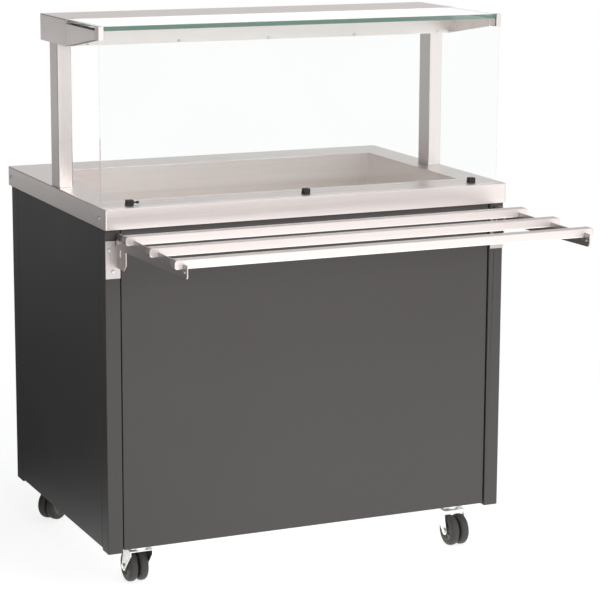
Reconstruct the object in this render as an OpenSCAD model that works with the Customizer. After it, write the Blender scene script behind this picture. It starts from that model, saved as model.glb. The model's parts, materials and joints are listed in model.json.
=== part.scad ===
// Heated servery trolley with a glass-fronted gantry and a fold-down tray slide.
// X runs along the counter, -Y is the customer side, +Z is up.
// The origin is on the floor, at the middle of the space the trolley takes up.

/* [Worktop] */
// Width of the worktop
top_w = 1015; // [960:5:1200]
// Depth of the worktop, front to back
top_d = 725; // [690:5:800]
// Height of the worktop above the floor
top_h = 900; // [850:5:950]
// Height of the folded edge around the worktop
skirt_h = 47; // [40:1:60]
// Thickness of the stainless sheet in the worktop, tank and cover
sheet = 1.5; // [1:0.1:2]
// Radius of the worktop's vertical corners
corner_r = 6; // [3:1:12]

/* [Well] */
// Length of the well opening, along the counter
well_w = 860; // [700:5:880]
// Width of the well opening, front to back
well_d = 490; // [400:5:520]
// Worktop left in front of the well
well_rim = 110; // [90:1:130]
// Depth of the tank below the worktop
well_depth = 150; // [110:5:160]
// Width of the tank's flange under the worktop
tank_flange = 16; // [10:1:20]
// Room between the tank's floor and the jacket's floor
jacket_room = 26; // [20:1:40]

/* [Cabinet] */
// Inset of the cabinet sides from the worktop's side edges
side_inset = 3; // [2.5:0.5:8]
// Inset of the front corner posts from the worktop's front edge
front_inset = 9.5; // [5:0.5:15]
// Inset of the rear corner posts from the worktop's back edge
rear_inset = 19.5; // [18:0.5:26]
// Width of a corner post, along the counter
leg_w = 36; // [30:1:45]
// Depth of a front corner post
front_leg_d = 41; // [35:1:50]
// Depth of a rear corner post
rear_leg_d = 48; // [44:1:55]
// Wall of the corner posts
leg_wall = 2; // [1.5:0.1:3]
// Height of the corner posts' feet above the floor
leg_foot = 101; // [100:0.5:104]
// Height of the panels' lower edges above the floor
panel_foot = 107; // [106:0.5:112]
// Thickness of the painted sheet in the panels
skin = 1.5; // [1:0.1:2]
// Width of the panels' folded edges
panel_fold = 20; // [15:1:30]
// Gap beside the front panel
panel_gap = 3; // [2:0.5:5]
// Setback of the front panel from the corner posts' faces
panel_setback = 3; // [1:0.5:5]
// Distance from the worktop down to the panels' upper edges
panel_drop = 20; // [18:0.5:30]
// Thickness of the cabinet floor
floor_t = 2; // [1.5:0.1:3]
// Height of the cabinet floor's upturned edges
floor_upstand = 30; // [20:1:45]
// Height of the shelf above the cabinet floor
shelf_rise = 315; // [200:5:400]
// Depth of the shelf's folded edges
shelf_fold = 25; // [15:1:35]

/* [Rear doors and controls] */
// Height of the control panel below the worktop's skirt
panel_h = 131; // [120:1:145]
// Thickness of a door
door_t = 20; // [16:1:24]
// Setback of the doors from the rear posts' faces
door_setback = 10; // [8:0.5:12]
// Gap around a door
door_gap = 2; // [1.5:0.5:3]
// Diameter of the door pivot pins
door_pin_d = 6; // [5:0.5:8]
// Length of the door pivot pins inside a door
door_pin_l = 20; // [14:1:30]
// Length of a door handle between its feet
handle_l = 128; // [96:1:160]
// Thickness of a door handle's bar
handle_d = 8; // [6:0.5:10]
// Standing height of a door handle from the door
handle_h = 27; // [22:1:27]
// Diameter of the thermostat knob
knob_d = 46; // [36:1:52]
// Depth of the thermostat knob
knob_h = 15; // [10:1:18]
// Width of the power switch's rocker
rocker_w = 13; // [10:1:18]
// Radius of the power switch's rocker
rocker_r = 9; // [8:0.5:11]

/* [Gantry] */
// Height of the gantry's top above the worktop
gantry_h = 400; // [340:5:450]
// Width of a gantry post, along the counter
post_w = 35; // [30:1:40]
// Depth of a gantry post
post_d = 56; // [46:1:66]
// Wall of the gantry posts
post_wall = 2; // [1.5:0.1:3]
// Inset of the gantry posts from the worktop's side edges
post_inset = 5; // [4:0.5:10]
// Distance from the worktop's front edge to the posts' middle
post_back = 361; // [330:1:380]
// Depth of the gantry's beam, front to back
beam_d = 190; // [160:1:210]
// Height of the gantry's beam
beam_h = 62; // [50:1:75]
// Distance from the worktop's front edge to the beam's front face
beam_front = 264; // [240:1:280]
// Inset of the beam's ends from the worktop's side edges
beam_inset = 4; // [3:0.5:10]
// Width of the lamp's trough
lamp_w = 90; // [60:1:120]
// Diameter of the lamp tube
lamp_d = 16; // [10:1:26]
// Thickness of the glass shelf
shelf_glass_t = 10; // [8:0.5:12]
// Thickness of the front glass
screen_t = 6; // [5:0.5:8]
// Distance from the worktop's front edge to the front glass
screen_front = 40; // [35:1:60]
// Gap under the front glass
screen_gap = 6; // [5:0.5:10]
// Thickness of the cheek plates that carry the glass shelf
cheek_t = 3; // [2:0.5:4]
// Height of a cheek at its tip
cheek_tip_h = 20; // [15:1:30]
// Width of a cheek's folded edges
cheek_fold = 20; // [12:1:30]
// Width of a glass clamp
clamp_w = 12; // [10:1:18]
// Height of a glass clamp
clamp_h = 30; // [24:1:36]
// Width of a glass clip on the worktop
clip_w = 16; // [12:1:24]
// Height of a glass clip on the worktop
clip_h = 12; // [10:1:16]
// Distance from the worktop's side edge to the outer glass clips
clip_inset = 74; // [50:1:120]

/* [Tray slide] */
// Distance from the worktop's front edge to the first rail's middle
rail_first = 103; // [95:1:115]
// Distance between neighbouring rails
rail_pitch = 147; // [120:1:155]
// Length of a rail
rail_l = 1000; // [960:5:1010]
// Overhang of a rail's end past the arm
rail_overhang = 20; // [12:0.5:30]
// Height of a rail
rail_h = 21; // [18:1:26]
// Depth of a rail, front to back
rail_d = 24; // [20:1:30]
// Radius of a rail's edges
rail_r = 3; // [2.5:0.5:8]
// Wall of a rail's tube
rail_wall = 1.5; // [1.2:0.1:2]
// Thickness of a rail's end plug
rail_plug = 8; // [6:0.5:12]
// Thickness of an arm
arm_t = 3; // [2.5:0.5:4]
// Height of an arm at its pivot
arm_root_h = 37; // [34:1:39]
// Height of an arm at its tip
arm_tip_h = 29; // [25:1:34]
// Length of an arm beyond the last rail's middle
arm_tip = 31; // [25:1:40]
// Gap between an arm and the worktop's skirt
arm_drop = 5.5; // [4:0.5:8]
// Depth of the rails' seats in an arm
rail_seat = 10.5; // [8:0.5:12]
// Distance from a corner post's face to the arm's pivot
pivot_out = 25; // [24.5:0.5:28]
// Diameter of the pivot bolts
pivot_d = 8; // [6:0.5:10]
// Thickness of the brackets
bracket_t = 3; // [2.5:0.5:4]
// Height of a bracket's wall plate
bracket_h = 86; // [80:1:110]
// Reach of a bracket's cheek from the corner post
bracket_reach = 58; // [50:1:70]
// Width of the slot in a bracket's cheek
slot_w = 9; // [6:0.5:11]
// Height of the slot in a bracket's cheek
slot_h = 28; // [18:1:34]

/* [Castors] */
// Diameter of a wheel
wheel_d = 75; // [70:1:78]
// Width of one wheel
wheel_w = 22; // [18:1:26]
// Gap between the two wheels of a castor
wheel_gap = 4; // [3:0.5:6]
// Diameter of a wheel's hub
hub_d = 50; // [40:1:56]
// Radius of a tyre's shoulders
tyre_r = 7; // [4:0.5:9]
// Distance from the swivel's axis to the wheel's axle
trail = 28; // [22:1:32]
// Thickness of the fork's plate
fork_t = 2.5; // [2:0.1:3]
// Diameter of the wheel's axle
axle_d = 8; // [6:0.5:10]
// Diameter of the swivel's pin
king_d = 10; // [8:0.5:12]
// Side of a castor's top plate
plate_w = 68; // [64:1:80]
// Thickness of a castor's top plate
plate_t = 3; // [2.5:0.5:4]
// Distance from the cabinet's side to a castor's swivel axis
castor_side = 97; // [80:1:110]
// Distance from the cabinet's front to a front castor's swivel axis
castor_front = 66; // [60:1:90]
// Distance from the cabinet's back to a rear castor's swivel axis
castor_rear = 46; // [44:0.5:47]
// Direction in which the front left castor trails, from -Y
front_left_turn = 180; // [-180:5:180]
// Direction in which the front right castor trails, from -Y
front_right_turn = 0; // [-180:5:180]
// Direction in which the rear left castor trails, from -Y
rear_left_turn = -55; // [-180:5:180]
// Direction in which the rear right castor trails, from -Y
rear_right_turn = 180; // [-180:5:180]

/* [Fits] */
// Radial clearance of a shaft that turns in its hole
run_fit = 0.05; // [0.02:0.01:0.1]
// Gap between faces that slide or turn past each other
side_fit = 0.3; // [0.2:0.05:0.4]

/* [Hidden] */

$fn = 48;
// Overlap of a cutting shape past the face it cuts
eps = 1;

steel = [0.80, 0.79, 0.77];
zinc = [0.72, 0.72, 0.70];
graphite = [0.33, 0.32, 0.31];
black = [0.10, 0.10, 0.10];
pane = [0.75, 0.90, 0.84, 0.35];

// Places along Y: the worktop's edges, and the tips of the arms at the far front
slide_reach = rail_first + 2 * rail_pitch + arm_tip;
total_d = top_d + slide_reach;
front_y = slide_reach - total_d / 2;
back_y = front_y + top_d;
cab_front = front_y + front_inset;
cab_back = back_y - rear_inset;

// Places along X, measured out from the middle
top_x = top_w / 2;
cab_x = top_x - side_inset;
leg_x = cab_x - leg_w;
post_x = top_x - post_inset - post_w / 2;
beam_x = top_x - beam_inset;

// Heights
skirt_z = top_h - skirt_h;
under_z = top_h - sheet;
panel_top = top_h - panel_drop;
gantry_z = top_h + gantry_h;
beam_z = gantry_z - beam_h;
floor_z = leg_foot + floor_t;
deck_z = floor_z + floor_t;
header_z = skirt_z - panel_h;

// The well
well_y = front_y + well_rim + well_d / 2;
tank_z = top_h - well_depth;
jacket_z = tank_z - jacket_room;
heater_t = 4;
heater_margin = 70;
heater_groove = 8;
heater_pitch = 120;

// A rounded rectangle, centred, with exact arcs at its corners
module round_rect(w, h, r) {
    square([w, h - 2 * r], center = true);
    square([w - 2 * r, h], center = true);
    for (sx = [-1, 1], sy = [-1, 1])
        translate([sx * (w / 2 - r), sy * (h / 2 - r)])
            circle(r);
}

// A box given by its lowest corner and its highest corner
module block(low, high) {
    translate(low)
        cube(high - low);
}

// A round bar along X
module bar_x(d, x0, x1, y, z) {
    translate([x0, y, z])
        rotate([0, 90, 0])
            cylinder(d = d, h = x1 - x0);
}

// A round bar along Y
module bar_y(d, y0, y1, x, z) {
    translate([x, y0, z])
        rotate([-90, 0, 0])
            cylinder(d = d, h = y1 - y0);
}

// A plate that stands across X, drawn as (y, z) points
module plate_x(x0, x1) {
    translate([x0, 0, 0])
        rotate([90, 0, 90])
            linear_extrude(x1 - x0)
                children();
}

// ---------------------------------------------------------------- worktop and well

// Bolts that hold each gantry post, either side of its middle
gantry_bolt_d = 8;
gantry_bolt_gap = 28;
bolt_slack = 0.5;

module each_gantry_bolt() {
    for (s = [-1, 1], t = [-1, 1])
        translate([s * post_x, front_y + post_back + t * gantry_bolt_gap / 2, 0])
            children();
}

module worktop() {
    color(steel)
        difference() {
            translate([0, front_y + top_d / 2, skirt_z])
                linear_extrude(skirt_h)
                    round_rect(top_w, top_d, corner_r);
            translate([0, front_y + top_d / 2, skirt_z - eps])
                linear_extrude(skirt_h - sheet + eps)
                    round_rect(top_w - 2 * sheet, top_d - 2 * sheet, corner_r - sheet);
            block([-well_w / 2, well_y - well_d / 2, skirt_z],
                  [well_w / 2, well_y + well_d / 2, top_h + eps]);
            each_gantry_bolt()
                translate([0, 0, skirt_z])
                    cylinder(d = gantry_bolt_d + 2 * bolt_slack, h = skirt_h + eps);
            for (y = skirt_screw_ys, s = [-1, 1])
                bar_x(screw_d + 2 * hole_slack, s * top_x - 2 * sheet, s * top_x + 2 * sheet,
                      y, skirt_screw_z);
        }
}

module tank_box(grow, low, high) {
    block([-well_w / 2 - grow, well_y - well_d / 2 - grow, low],
          [well_w / 2 + grow, well_y + well_d / 2 + grow, high]);
}

module well_tank() {
    color(steel)
        difference() {
            union() {
                tank_box(sheet, tank_z, under_z);
                tank_box(tank_flange, under_z - sheet, under_z);
            }
            tank_box(0, tank_z + sheet, top_h);
        }
}

module well_heater() {
    groove_l = well_d - 3 * heater_margin;
    color(black)
        difference() {
            translate([0, well_y, tank_z - heater_t])
                linear_extrude(heater_t)
                    round_rect(well_w - 2 * heater_margin, well_d - 2 * heater_margin, heater_margin / 3);
            for (i = [-2:2])
                block([i * heater_pitch - heater_groove / 2, well_y - groove_l / 2, tank_z - heater_t - eps],
                      [i * heater_pitch + heater_groove / 2, well_y + groove_l / 2, tank_z - heater_t / 2]);
        }
}

module well_jacket() {
    color(zinc)
        difference() {
            tank_box(tank_flange, jacket_z, under_z - sheet);
            tank_box(tank_flange - sheet, jacket_z + sheet, under_z);
        }
}

// ---------------------------------------------------------------- cabinet

// A folded pan, open on one side: outer corner, outer size and the open side
module pan(low, high, open) {
    size = high - low;
    wall = [skin, skin, skin];
    difference() {
        block(low, high);
        translate(low + wall + [min(open[0], 0), min(open[1], 0), min(open[2], 0)] * 2 * skin)
            cube(size - 2 * wall + [abs(open[0]), abs(open[1]), abs(open[2])] * 2 * skin);
    }
}

// One corner post, a square tube closed at its foot
module leg(x0, x1, y0, y1) {
    difference() {
        block([x0, y0, leg_foot], [x1, y1, under_z]);
        block([x0 + leg_wall, y0 + leg_wall, leg_foot + leg_wall],
              [x1 - leg_wall, y1 - leg_wall, under_z + eps]);
    }
}

module corner_posts() {
    color(graphite)
        difference() {
            for (s = [0, 1])
                mirror([s, 0, 0]) {
                    leg(leg_x, cab_x, cab_front, cab_front + front_leg_d);
                    leg(leg_x, cab_x, cab_back - rear_leg_d, cab_back);
                }
            for (s = [-1, 1], at = bracket_screws)
                bar_y(screw_d + 2 * hole_slack, cab_front - eps, cab_front + leg_wall + eps,
                      s * at[0], at[1]);
        }
}

side_gap = 0.5;
side_front = cab_front + front_leg_d + side_gap;
side_back = cab_back - rear_leg_d - side_gap;

module side_panel() {
    color(graphite)
        pan([leg_x, side_front, panel_foot], [cab_x, side_back, panel_top], [-1, 0, 0]);
}

module left_side_panel() {
    mirror([1, 0, 0])
        side_panel();
}

module right_side_panel() {
    side_panel();
}

front_panel_y = cab_front + panel_setback;

module front_panel() {
    color(graphite)
        pan([-leg_x + panel_gap, front_panel_y, panel_foot],
            [leg_x - panel_gap, front_panel_y + panel_fold, panel_top], [0, 1, 0]);
}

// The cabinet floor: it ends in a front upstand, and in a door stop at the back
tray_front = front_panel_y + panel_fold;
door_face = cab_back - door_setback;
door_back = door_face - door_t;
door_stop_y = door_back - door_gap - skin;
hinge_x = leg_x - door_gap - door_t / 2;
hinge_y = door_face - door_t / 2;

module base_tray() {
    color(zinc)
        difference() {
            union() {
                block([-leg_x, tray_front, floor_z], [leg_x, door_face, deck_z]);
                block([-leg_x, tray_front, floor_z], [leg_x, tray_front + skin, floor_z + floor_upstand]);
                block([-leg_x, door_stop_y, floor_z], [leg_x, door_stop_y + skin, floor_z + floor_upstand]);
                for (s = [-1, 1])
                    block([s > 0 ? leg_x - skin : -leg_x, tray_front, floor_z],
                          [s > 0 ? leg_x : skin - leg_x, door_stop_y + skin, floor_z + floor_upstand]);
            }
            each_castor_bolt()
                translate([0, 0, floor_z - eps])
                    cylinder(d = castor_bolt_d + 2 * bolt_slack, h = floor_t + 2 * eps);
            for (s = [-1, 1])
                translate([s * hinge_x, hinge_y, floor_z - eps])
                    cylinder(d = door_pin_d + 2 * run_fit, h = floor_t + 2 * eps);
        }
}

module cupboard_shelf() {
    z = deck_z + shelf_rise;
    color(zinc)
        pan([-leg_x, tray_front, z - shelf_fold], [leg_x, door_stop_y - skin, z], [0, 0, -1]);
}

// ---------------------------------------------------------------- controls

control_z = (header_z + skirt_z) / 2;
knob_x = -150;
switch_x = -40;
inlet_inset = 138.5;
inlet_x = leg_x - inlet_inset;
control_face = cab_back;
header_fold = 25;
shaft_d = 6;
shaft_l = 13;
shaft_slack = 0.55;
inlet_w = 50;
inlet_h = 32;
inlet_depth = 22;
housing_wall = 2.5;
housing_w = rocker_w + 2 * housing_wall;
housing_h = 2 * (rocker_r + 3);
housing_depth = 22;
rocker_sink = 5;
rocker_y = control_face - rocker_sink;

module control_panel() {
    color(steel)
        difference() {
            pan([-leg_x, control_face - header_fold, header_z], [leg_x, control_face, panel_top], [0, -1, 0]);
            bar_y(shaft_d + 2 * shaft_slack, control_face - header_fold, control_face + eps,
                  knob_x, control_z);
            block([switch_x - housing_w / 2, control_face - 2 * skin, control_z - housing_h / 2],
                  [switch_x + housing_w / 2, control_face + eps, control_z + housing_h / 2]);
            block([inlet_x - inlet_w / 2, control_face - 2 * skin, control_z - inlet_h / 2],
                  [inlet_x + inlet_w / 2, control_face + eps, control_z + inlet_h / 2]);
            for (s = [-1, 1])
                translate([s * hinge_x, hinge_y, header_z - eps])
                    cylinder(d = door_pin_d + 2 * run_fit, h = skin + 2 * eps);
        }
}

// The thermostat hangs on the panel's inner face, with a bore for the knob's shaft
module thermostat() {
    back = control_face - skin;
    case_w = 32;
    case_h = 40;
    case_d = 14;
    stem_l = 4;
    color(zinc)
        difference() {
            union() {
                block([knob_x - case_w / 2, back - stem_l - case_d, control_z - case_h / 2],
                      [knob_x + case_w / 2, back - stem_l, control_z + case_h / 2]);
                bar_y(14, back - stem_l - eps, back, knob_x, control_z);
            }
            bar_y(shaft_d + 2 * run_fit, back - shaft_l - eps, back + eps, knob_x, control_z);
        }
}

module thermostat_knob() {
    skirt = 3;
    back = control_face - skin;
    grip_d = knob_d - 8;
    flute_d = 6;
    mark_w = 1.6;
    mark_t = 1.2;
    color(black)
        difference() {
            union() {
                bar_y(knob_d, control_face + side_fit, control_face + skirt, knob_x, control_z);
                bar_y(grip_d, control_face + skirt, control_face + knob_h, knob_x, control_z);
                bar_y(shaft_d, back - shaft_l, control_face + skirt, knob_x, control_z);
            }
            for (a = [0:45:315])
                translate([knob_x, control_face + skirt + eps, control_z])
                    rotate([-90, a + 22.5, 0])
                        translate([grip_d / 2 + flute_d / 3, 0, 0])
                            cylinder(d = flute_d, h = knob_h);
            block([knob_x - mark_w / 2, control_face + knob_h - mark_t, control_z],
                  [knob_x + mark_w / 2, control_face + knob_h + eps, control_z + knob_d / 2]);
        }
}

module switch_housing() {
    lip = 2;
    half_w = housing_w / 2;
    half_h = housing_h / 2;
    pocket = rocker_w / 2 + run_fit;
    color(black)
        difference() {
            union() {
                block([switch_x - half_w, control_face - housing_depth, control_z - half_h],
                      [switch_x + half_w, control_face, control_z + half_h]);
                block([switch_x - half_w - lip, control_face, control_z - half_h - lip],
                      [switch_x + half_w + lip, control_face + lip, control_z + half_h + lip]);
            }
            bar_x(2 * (rocker_r + run_fit), switch_x - pocket, switch_x + pocket, rocker_y, control_z);
            block([switch_x - pocket, rocker_y, control_z - rocker_r - run_fit],
                  [switch_x + pocket, control_face + lip + eps, control_z + rocker_r + run_fit]);
        }
}

// The rocker turns in its round pocket; its face is a shallow V, tipped to off
module power_switch() {
    rise = rocker_r - 0.5;
    dip = 2;
    tip_angle = 7;
    color(black)
        intersection() {
            bar_x(2 * rocker_r, switch_x - rocker_w / 2, switch_x + rocker_w / 2, rocker_y, control_z);
            plate_x(switch_x - rocker_w / 2 - eps, switch_x + rocker_w / 2 + eps)
                translate([rocker_y, control_z])
                    rotate(-tip_angle)
                        polygon([[-rocker_r - eps, -rocker_r - eps], [rise, -rocker_r - eps], [rise - dip, 0],
                                 [rise, rocker_r + eps], [-rocker_r - eps, rocker_r + eps]]);
        }
}

module power_inlet() {
    flange = 5;
    flange_t = 2.5;
    wall = 3;
    half_w = inlet_w / 2;
    half_h = inlet_h / 2;
    pin = [1, 5, 2.5];
    color(black) {
        difference() {
            union() {
                block([inlet_x - half_w, control_face - inlet_depth - wall, control_z - half_h],
                      [inlet_x + half_w, control_face, control_z + half_h]);
                block([inlet_x - half_w - flange, control_face, control_z - half_h - flange],
                      [inlet_x + half_w + flange, control_face + flange_t, control_z + half_h + flange]);
            }
            block([inlet_x - half_w + wall, control_face - inlet_depth, control_z - half_h + wall],
                  [inlet_x + half_w - wall, control_face + flange_t + eps, control_z + half_h - wall]);
        }
        for (p = [[-9, -3], [0, 4], [9, -3]])
            block([inlet_x + p[0] - pin[0], control_face - inlet_depth, control_z + p[1] - pin[2]],
                  [inlet_x + p[0] + pin[0], control_face - pin[1], control_z + p[1] + pin[2]]);
    }
}

// ---------------------------------------------------------------- doors

door_end_gap = 3;
door_low = deck_z + door_end_gap;
door_high = header_z - door_end_gap;
door_inner_x = 1.5;
pin_end_gap = 2;
handle_x = 40;
handle_drop = 140;
handle_mid = door_high - handle_drop;
handle_foot_d = handle_d - 1;

// The right door; its hinge edge is round about the pivot
module door() {
    difference() {
        union() {
            pan([door_inner_x, door_back, door_low], [hinge_x, door_face, door_high], [0, -1, 0]);
            translate([hinge_x, hinge_y, door_low])
                cylinder(d = door_t, h = door_high - door_low);
        }
        for (z = [door_low, door_high])
            translate([hinge_x, hinge_y, z - door_pin_l - pin_end_gap])
                cylinder(d = door_pin_d + 2 * run_fit, h = 2 * (door_pin_l + pin_end_gap));
    }
}

module right_door() {
    color(graphite)
        door();
}

module left_door() {
    color(graphite)
        mirror([1, 0, 0])
            door();
}

module door_handle() {
    color(steel) {
        translate([handle_x, door_face + handle_h - handle_d / 2, handle_mid - handle_l / 2 - handle_d])
            cylinder(d = handle_d, h = handle_l + 2 * handle_d);
        for (t = [-1, 1])
            bar_y(handle_foot_d, door_face, door_face + handle_h - handle_d / 2,
                  handle_x, handle_mid + t * handle_l / 2);
    }
}

module right_door_handle() {
    door_handle();
}

module left_door_handle() {
    mirror([1, 0, 0])
        door_handle();
}

// Pivot pins, top and bottom, each with a collar that the door turns against
module door_pins() {
    color(zinc)
        for (s = [-1, 1])
            translate([s * hinge_x, hinge_y, 0]) {
                translate([0, 0, floor_z])
                    cylinder(d = door_pin_d, h = door_low - floor_z + door_pin_l);
                translate([0, 0, deck_z])
                    cylinder(d = 2 * door_pin_d, h = door_low - deck_z);
                translate([0, 0, door_high - door_pin_l])
                    cylinder(d = door_pin_d, h = header_z + skin - door_high + door_pin_l);
                translate([0, 0, door_high + side_fit])
                    cylinder(d = 2 * door_pin_d, h = header_z - door_high - side_fit);
            }
}

// ---------------------------------------------------------------- gantry

post_foot_t = 6;

module gantry_post() {
    y0 = front_y + post_back - post_d / 2;
    x0 = post_x - post_w / 2;
    color(steel)
        difference() {
            block([x0, y0, top_h], [x0 + post_w, y0 + post_d, beam_z]);
            block([x0 + post_wall, y0 + post_wall, top_h + post_foot_t],
                  [x0 + post_w - post_wall, y0 + post_d - post_wall, beam_z - post_wall]);
            for (t = [-1, 1])
                translate([post_x, front_y + post_back + t * gantry_bolt_gap / 2, top_h - eps])
                    cylinder(d = gantry_bolt_d + 2 * run_fit, h = post_foot_t + 2 * eps);
        }
}

module right_gantry_post() {
    gantry_post();
}

module left_gantry_post() {
    mirror([1, 0, 0])
        gantry_post();
}

// Bolts from below, with a washer against the worktop's underside
module gantry_bolts() {
    washer_t = 2;
    head_w = 13;
    head_t = 5.5;
    color(zinc)
        each_gantry_bolt() {
            translate([0, 0, under_z - washer_t])
                cylinder(d = 2 * gantry_bolt_d, h = washer_t);
            translate([0, 0, under_z - washer_t - head_t])
                cylinder(d = head_w, h = head_t, $fn = 6);
            translate([0, 0, under_z - washer_t])
                cylinder(d = gantry_bolt_d, h = sheet + washer_t + post_foot_t);
        }
}

beam_y = front_y + beam_front;

module gantry_beam() {
    color(steel)
        difference() {
            block([-beam_x, beam_y, beam_z], [beam_x, beam_y + beam_d, gantry_z]);
            block([sheet - beam_x, beam_y + sheet, beam_z - eps],
                  [beam_x - sheet, beam_y + beam_d - sheet, gantry_z - sheet]);
            for (x = beam_screw_xs)
                bar_y(screw_d + 2 * hole_slack, beam_y - eps, beam_y + 2 * sheet, x, beam_screw_z);
        }
}

// The beam's underside, with upturned edges and a trough for the lamp
trough_inset = 100;
trough_x = beam_x - trough_inset;
trough_h = 34;
lamp_rise = 19;
trough_y = beam_y + beam_d / 2;

module lamp_tray() {
    x = beam_x - sheet;
    y0 = beam_y + sheet;
    y1 = beam_y + beam_d - sheet;
    lip = 14;
    color(steel)
        difference() {
            union() {
                difference() {
                    block([-x, y0, beam_z], [x, y1, beam_z + lip]);
                    block([sheet - x, y0 + sheet, beam_z + sheet],
                          [x - sheet, y1 - sheet, beam_z + lip + eps]);
                }
                block([-trough_x - sheet, trough_y - lamp_w / 2 - sheet, beam_z],
                      [trough_x + sheet, trough_y + lamp_w / 2 + sheet, beam_z + trough_h + sheet]);
            }
            block([-trough_x, trough_y - lamp_w / 2, beam_z - eps],
                  [trough_x, trough_y + lamp_w / 2, beam_z + trough_h]);
            for (x = beam_screw_xs)
                bar_y(screw_d + 2 * hole_slack, y0 - eps, y0 + 2 * sheet, x, beam_screw_z);
        }
}

module lamp_tube() {
    holder = 14;
    z = beam_z + lamp_rise;
    color("white")
        bar_x(lamp_d, -trough_x + holder, trough_x - holder, trough_y, z);
    color(black)
        for (s = [0, 1])
            mirror([s, 0, 0])
                block([trough_x - holder, trough_y - lamp_d, z - 0.7 * lamp_d],
                      [trough_x, trough_y + lamp_d, beam_z + trough_h]);
}

// A cheek: a tapered plate with folded edges, from the beam to the glass clamp
cheek_top = gantry_z - shelf_glass_t;
screen_y = front_y + screen_front;
clamp_wall = 3;
clamp_tail = 16;
clamp_front = screen_y - clamp_wall;
clamp_back = screen_y + screen_t + clamp_tail;
cheek_slope = (cheek_top - beam_z - cheek_tip_h) / (beam_y - clamp_back);

module cheek() {
    t = cheek_t;
    color(steel)
        difference() {
            plate_x(beam_x - cheek_fold, beam_x)
                polygon([[clamp_back, cheek_top - cheek_tip_h], [beam_y, beam_z],
                         [beam_y, cheek_top], [clamp_back, cheek_top]]);
            plate_x(beam_x - cheek_fold - eps, beam_x - t)
                polygon([[clamp_back + t, cheek_top - cheek_tip_h + t - cheek_slope * t],
                         [beam_y + eps, beam_z + t - cheek_slope * eps],
                         [beam_y + eps, cheek_top - t], [clamp_back + t, cheek_top - t]]);
        }
}

module right_cheek() {
    cheek();
}

module left_cheek() {
    mirror([1, 0, 0])
        cheek();
}

glass_inset = 2;
glass_x = beam_x - glass_inset;

module glass_shelf() {
    color(pane)
        difference() {
            block([-glass_x, screen_y, cheek_top], [glass_x, beam_y, gantry_z]);
            for (s = [0, 1])
                mirror([s, 0, 0])
                    block([beam_x - clamp_w, screen_y - eps, cheek_top - eps],
                          [beam_x + eps, clamp_back, gantry_z + eps]);
        }
}

module front_glass() {
    color(pane)
        block([-glass_x, screen_y, top_h + screen_gap], [glass_x, screen_y + screen_t, cheek_top]);
}

// Clamps that grip the front glass and butt against the cheeks' tips
module glass_clamps() {
    color(steel)
        for (s = [0, 1])
            mirror([s, 0, 0])
                difference() {
                    block([beam_x - clamp_w, clamp_front, gantry_z - clamp_h],
                          [beam_x, clamp_back, gantry_z]);
                    block([beam_x - clamp_w - eps, screen_y, gantry_z - clamp_h - eps],
                          [glass_x, screen_y + screen_t, cheek_top]);
                }
}

clip_x = top_x - clip_inset;
clip_lip = 5;

module glass_clips() {
    color(black)
        for (x = [-clip_x, 0, clip_x])
            difference() {
                block([x - clip_w / 2, screen_y - clip_lip, top_h],
                      [x + clip_w / 2, screen_y + screen_t + clip_lip, top_h + clip_h]);
                block([x - clip_w / 2 - eps, screen_y, top_h + screen_gap],
                      [x + clip_w / 2 + eps, screen_y + screen_t, top_h + clip_h + eps]);
            }
}

// ---------------------------------------------------------------- small screws

screw_d = 4;
screw_end = 3;
hole_slack = 0.25;
skirt_screw_z = top_h - skirt_h / 2;
skirt_screw_ys = [cab_front + front_leg_d - 12, cab_back - 5];
beam_screw_z = beam_z + 5;
beam_screw_inset = 52;
beam_screw_xs = [for (i = [-2:2]) i * (beam_x - beam_screw_inset) / 2];
bracket_x = leg_x + leg_w / 2;
bracket_drop = 25;
bracket_top = skirt_z - bracket_drop;
bracket_foot = bracket_top - bracket_h;
// One screw under a bracket's cheek, and one on its outer side
bracket_screws = [[bracket_x, bracket_foot + 16], [bracket_x + 8, bracket_top - 20]];

// A round-headed screw that points along +Y, its head's seat at the origin
module screw(grip) {
    rotate([-90, 0, 0])
        cylinder(d = screw_d, h = grip);
    rotate([90, 0, 0])
        cylinder(d1 = 2 * screw_d, d2 = 1.2 * screw_d, h = 0.55 * screw_d);
}

module trim_screws() {
    color(zinc) {
        for (s = [-1, 1], y = skirt_screw_ys)
            translate([s * top_x, y, skirt_screw_z])
                rotate([0, 0, s * 90])
                    screw(side_inset);
        for (x = beam_screw_xs)
            translate([x, beam_y, beam_screw_z])
                screw(2 * sheet + screw_end);
        for (s = [-1, 1], at = bracket_screws)
            translate([s * at[0], cab_front - bracket_t, at[1]])
                screw(bracket_t + leg_wall + screw_end);
    }
}

// ---------------------------------------------------------------- tray slide

rail_ys = [for (i = [0:2]) front_y - rail_first - i * rail_pitch];
arm_top = skirt_z - arm_drop;
pivot_z = arm_top - arm_root_h / 2;
pivot_y = cab_front - pivot_out;
arm_tip_y = front_y - slide_reach;
arm_outer = rail_l / 2 - rail_overhang;
arm_inner = arm_outer - arm_t;
ear_outer = arm_inner - side_fit;
ear_inner = ear_outer - bracket_t;
rail_seat_z = arm_top - rail_seat;
stud_back = 14;
stud_drop = 4;
stud_y = arm_tip_y + stud_back;
stud_z = rail_seat_z - stud_drop;
stud_d = 5;

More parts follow.
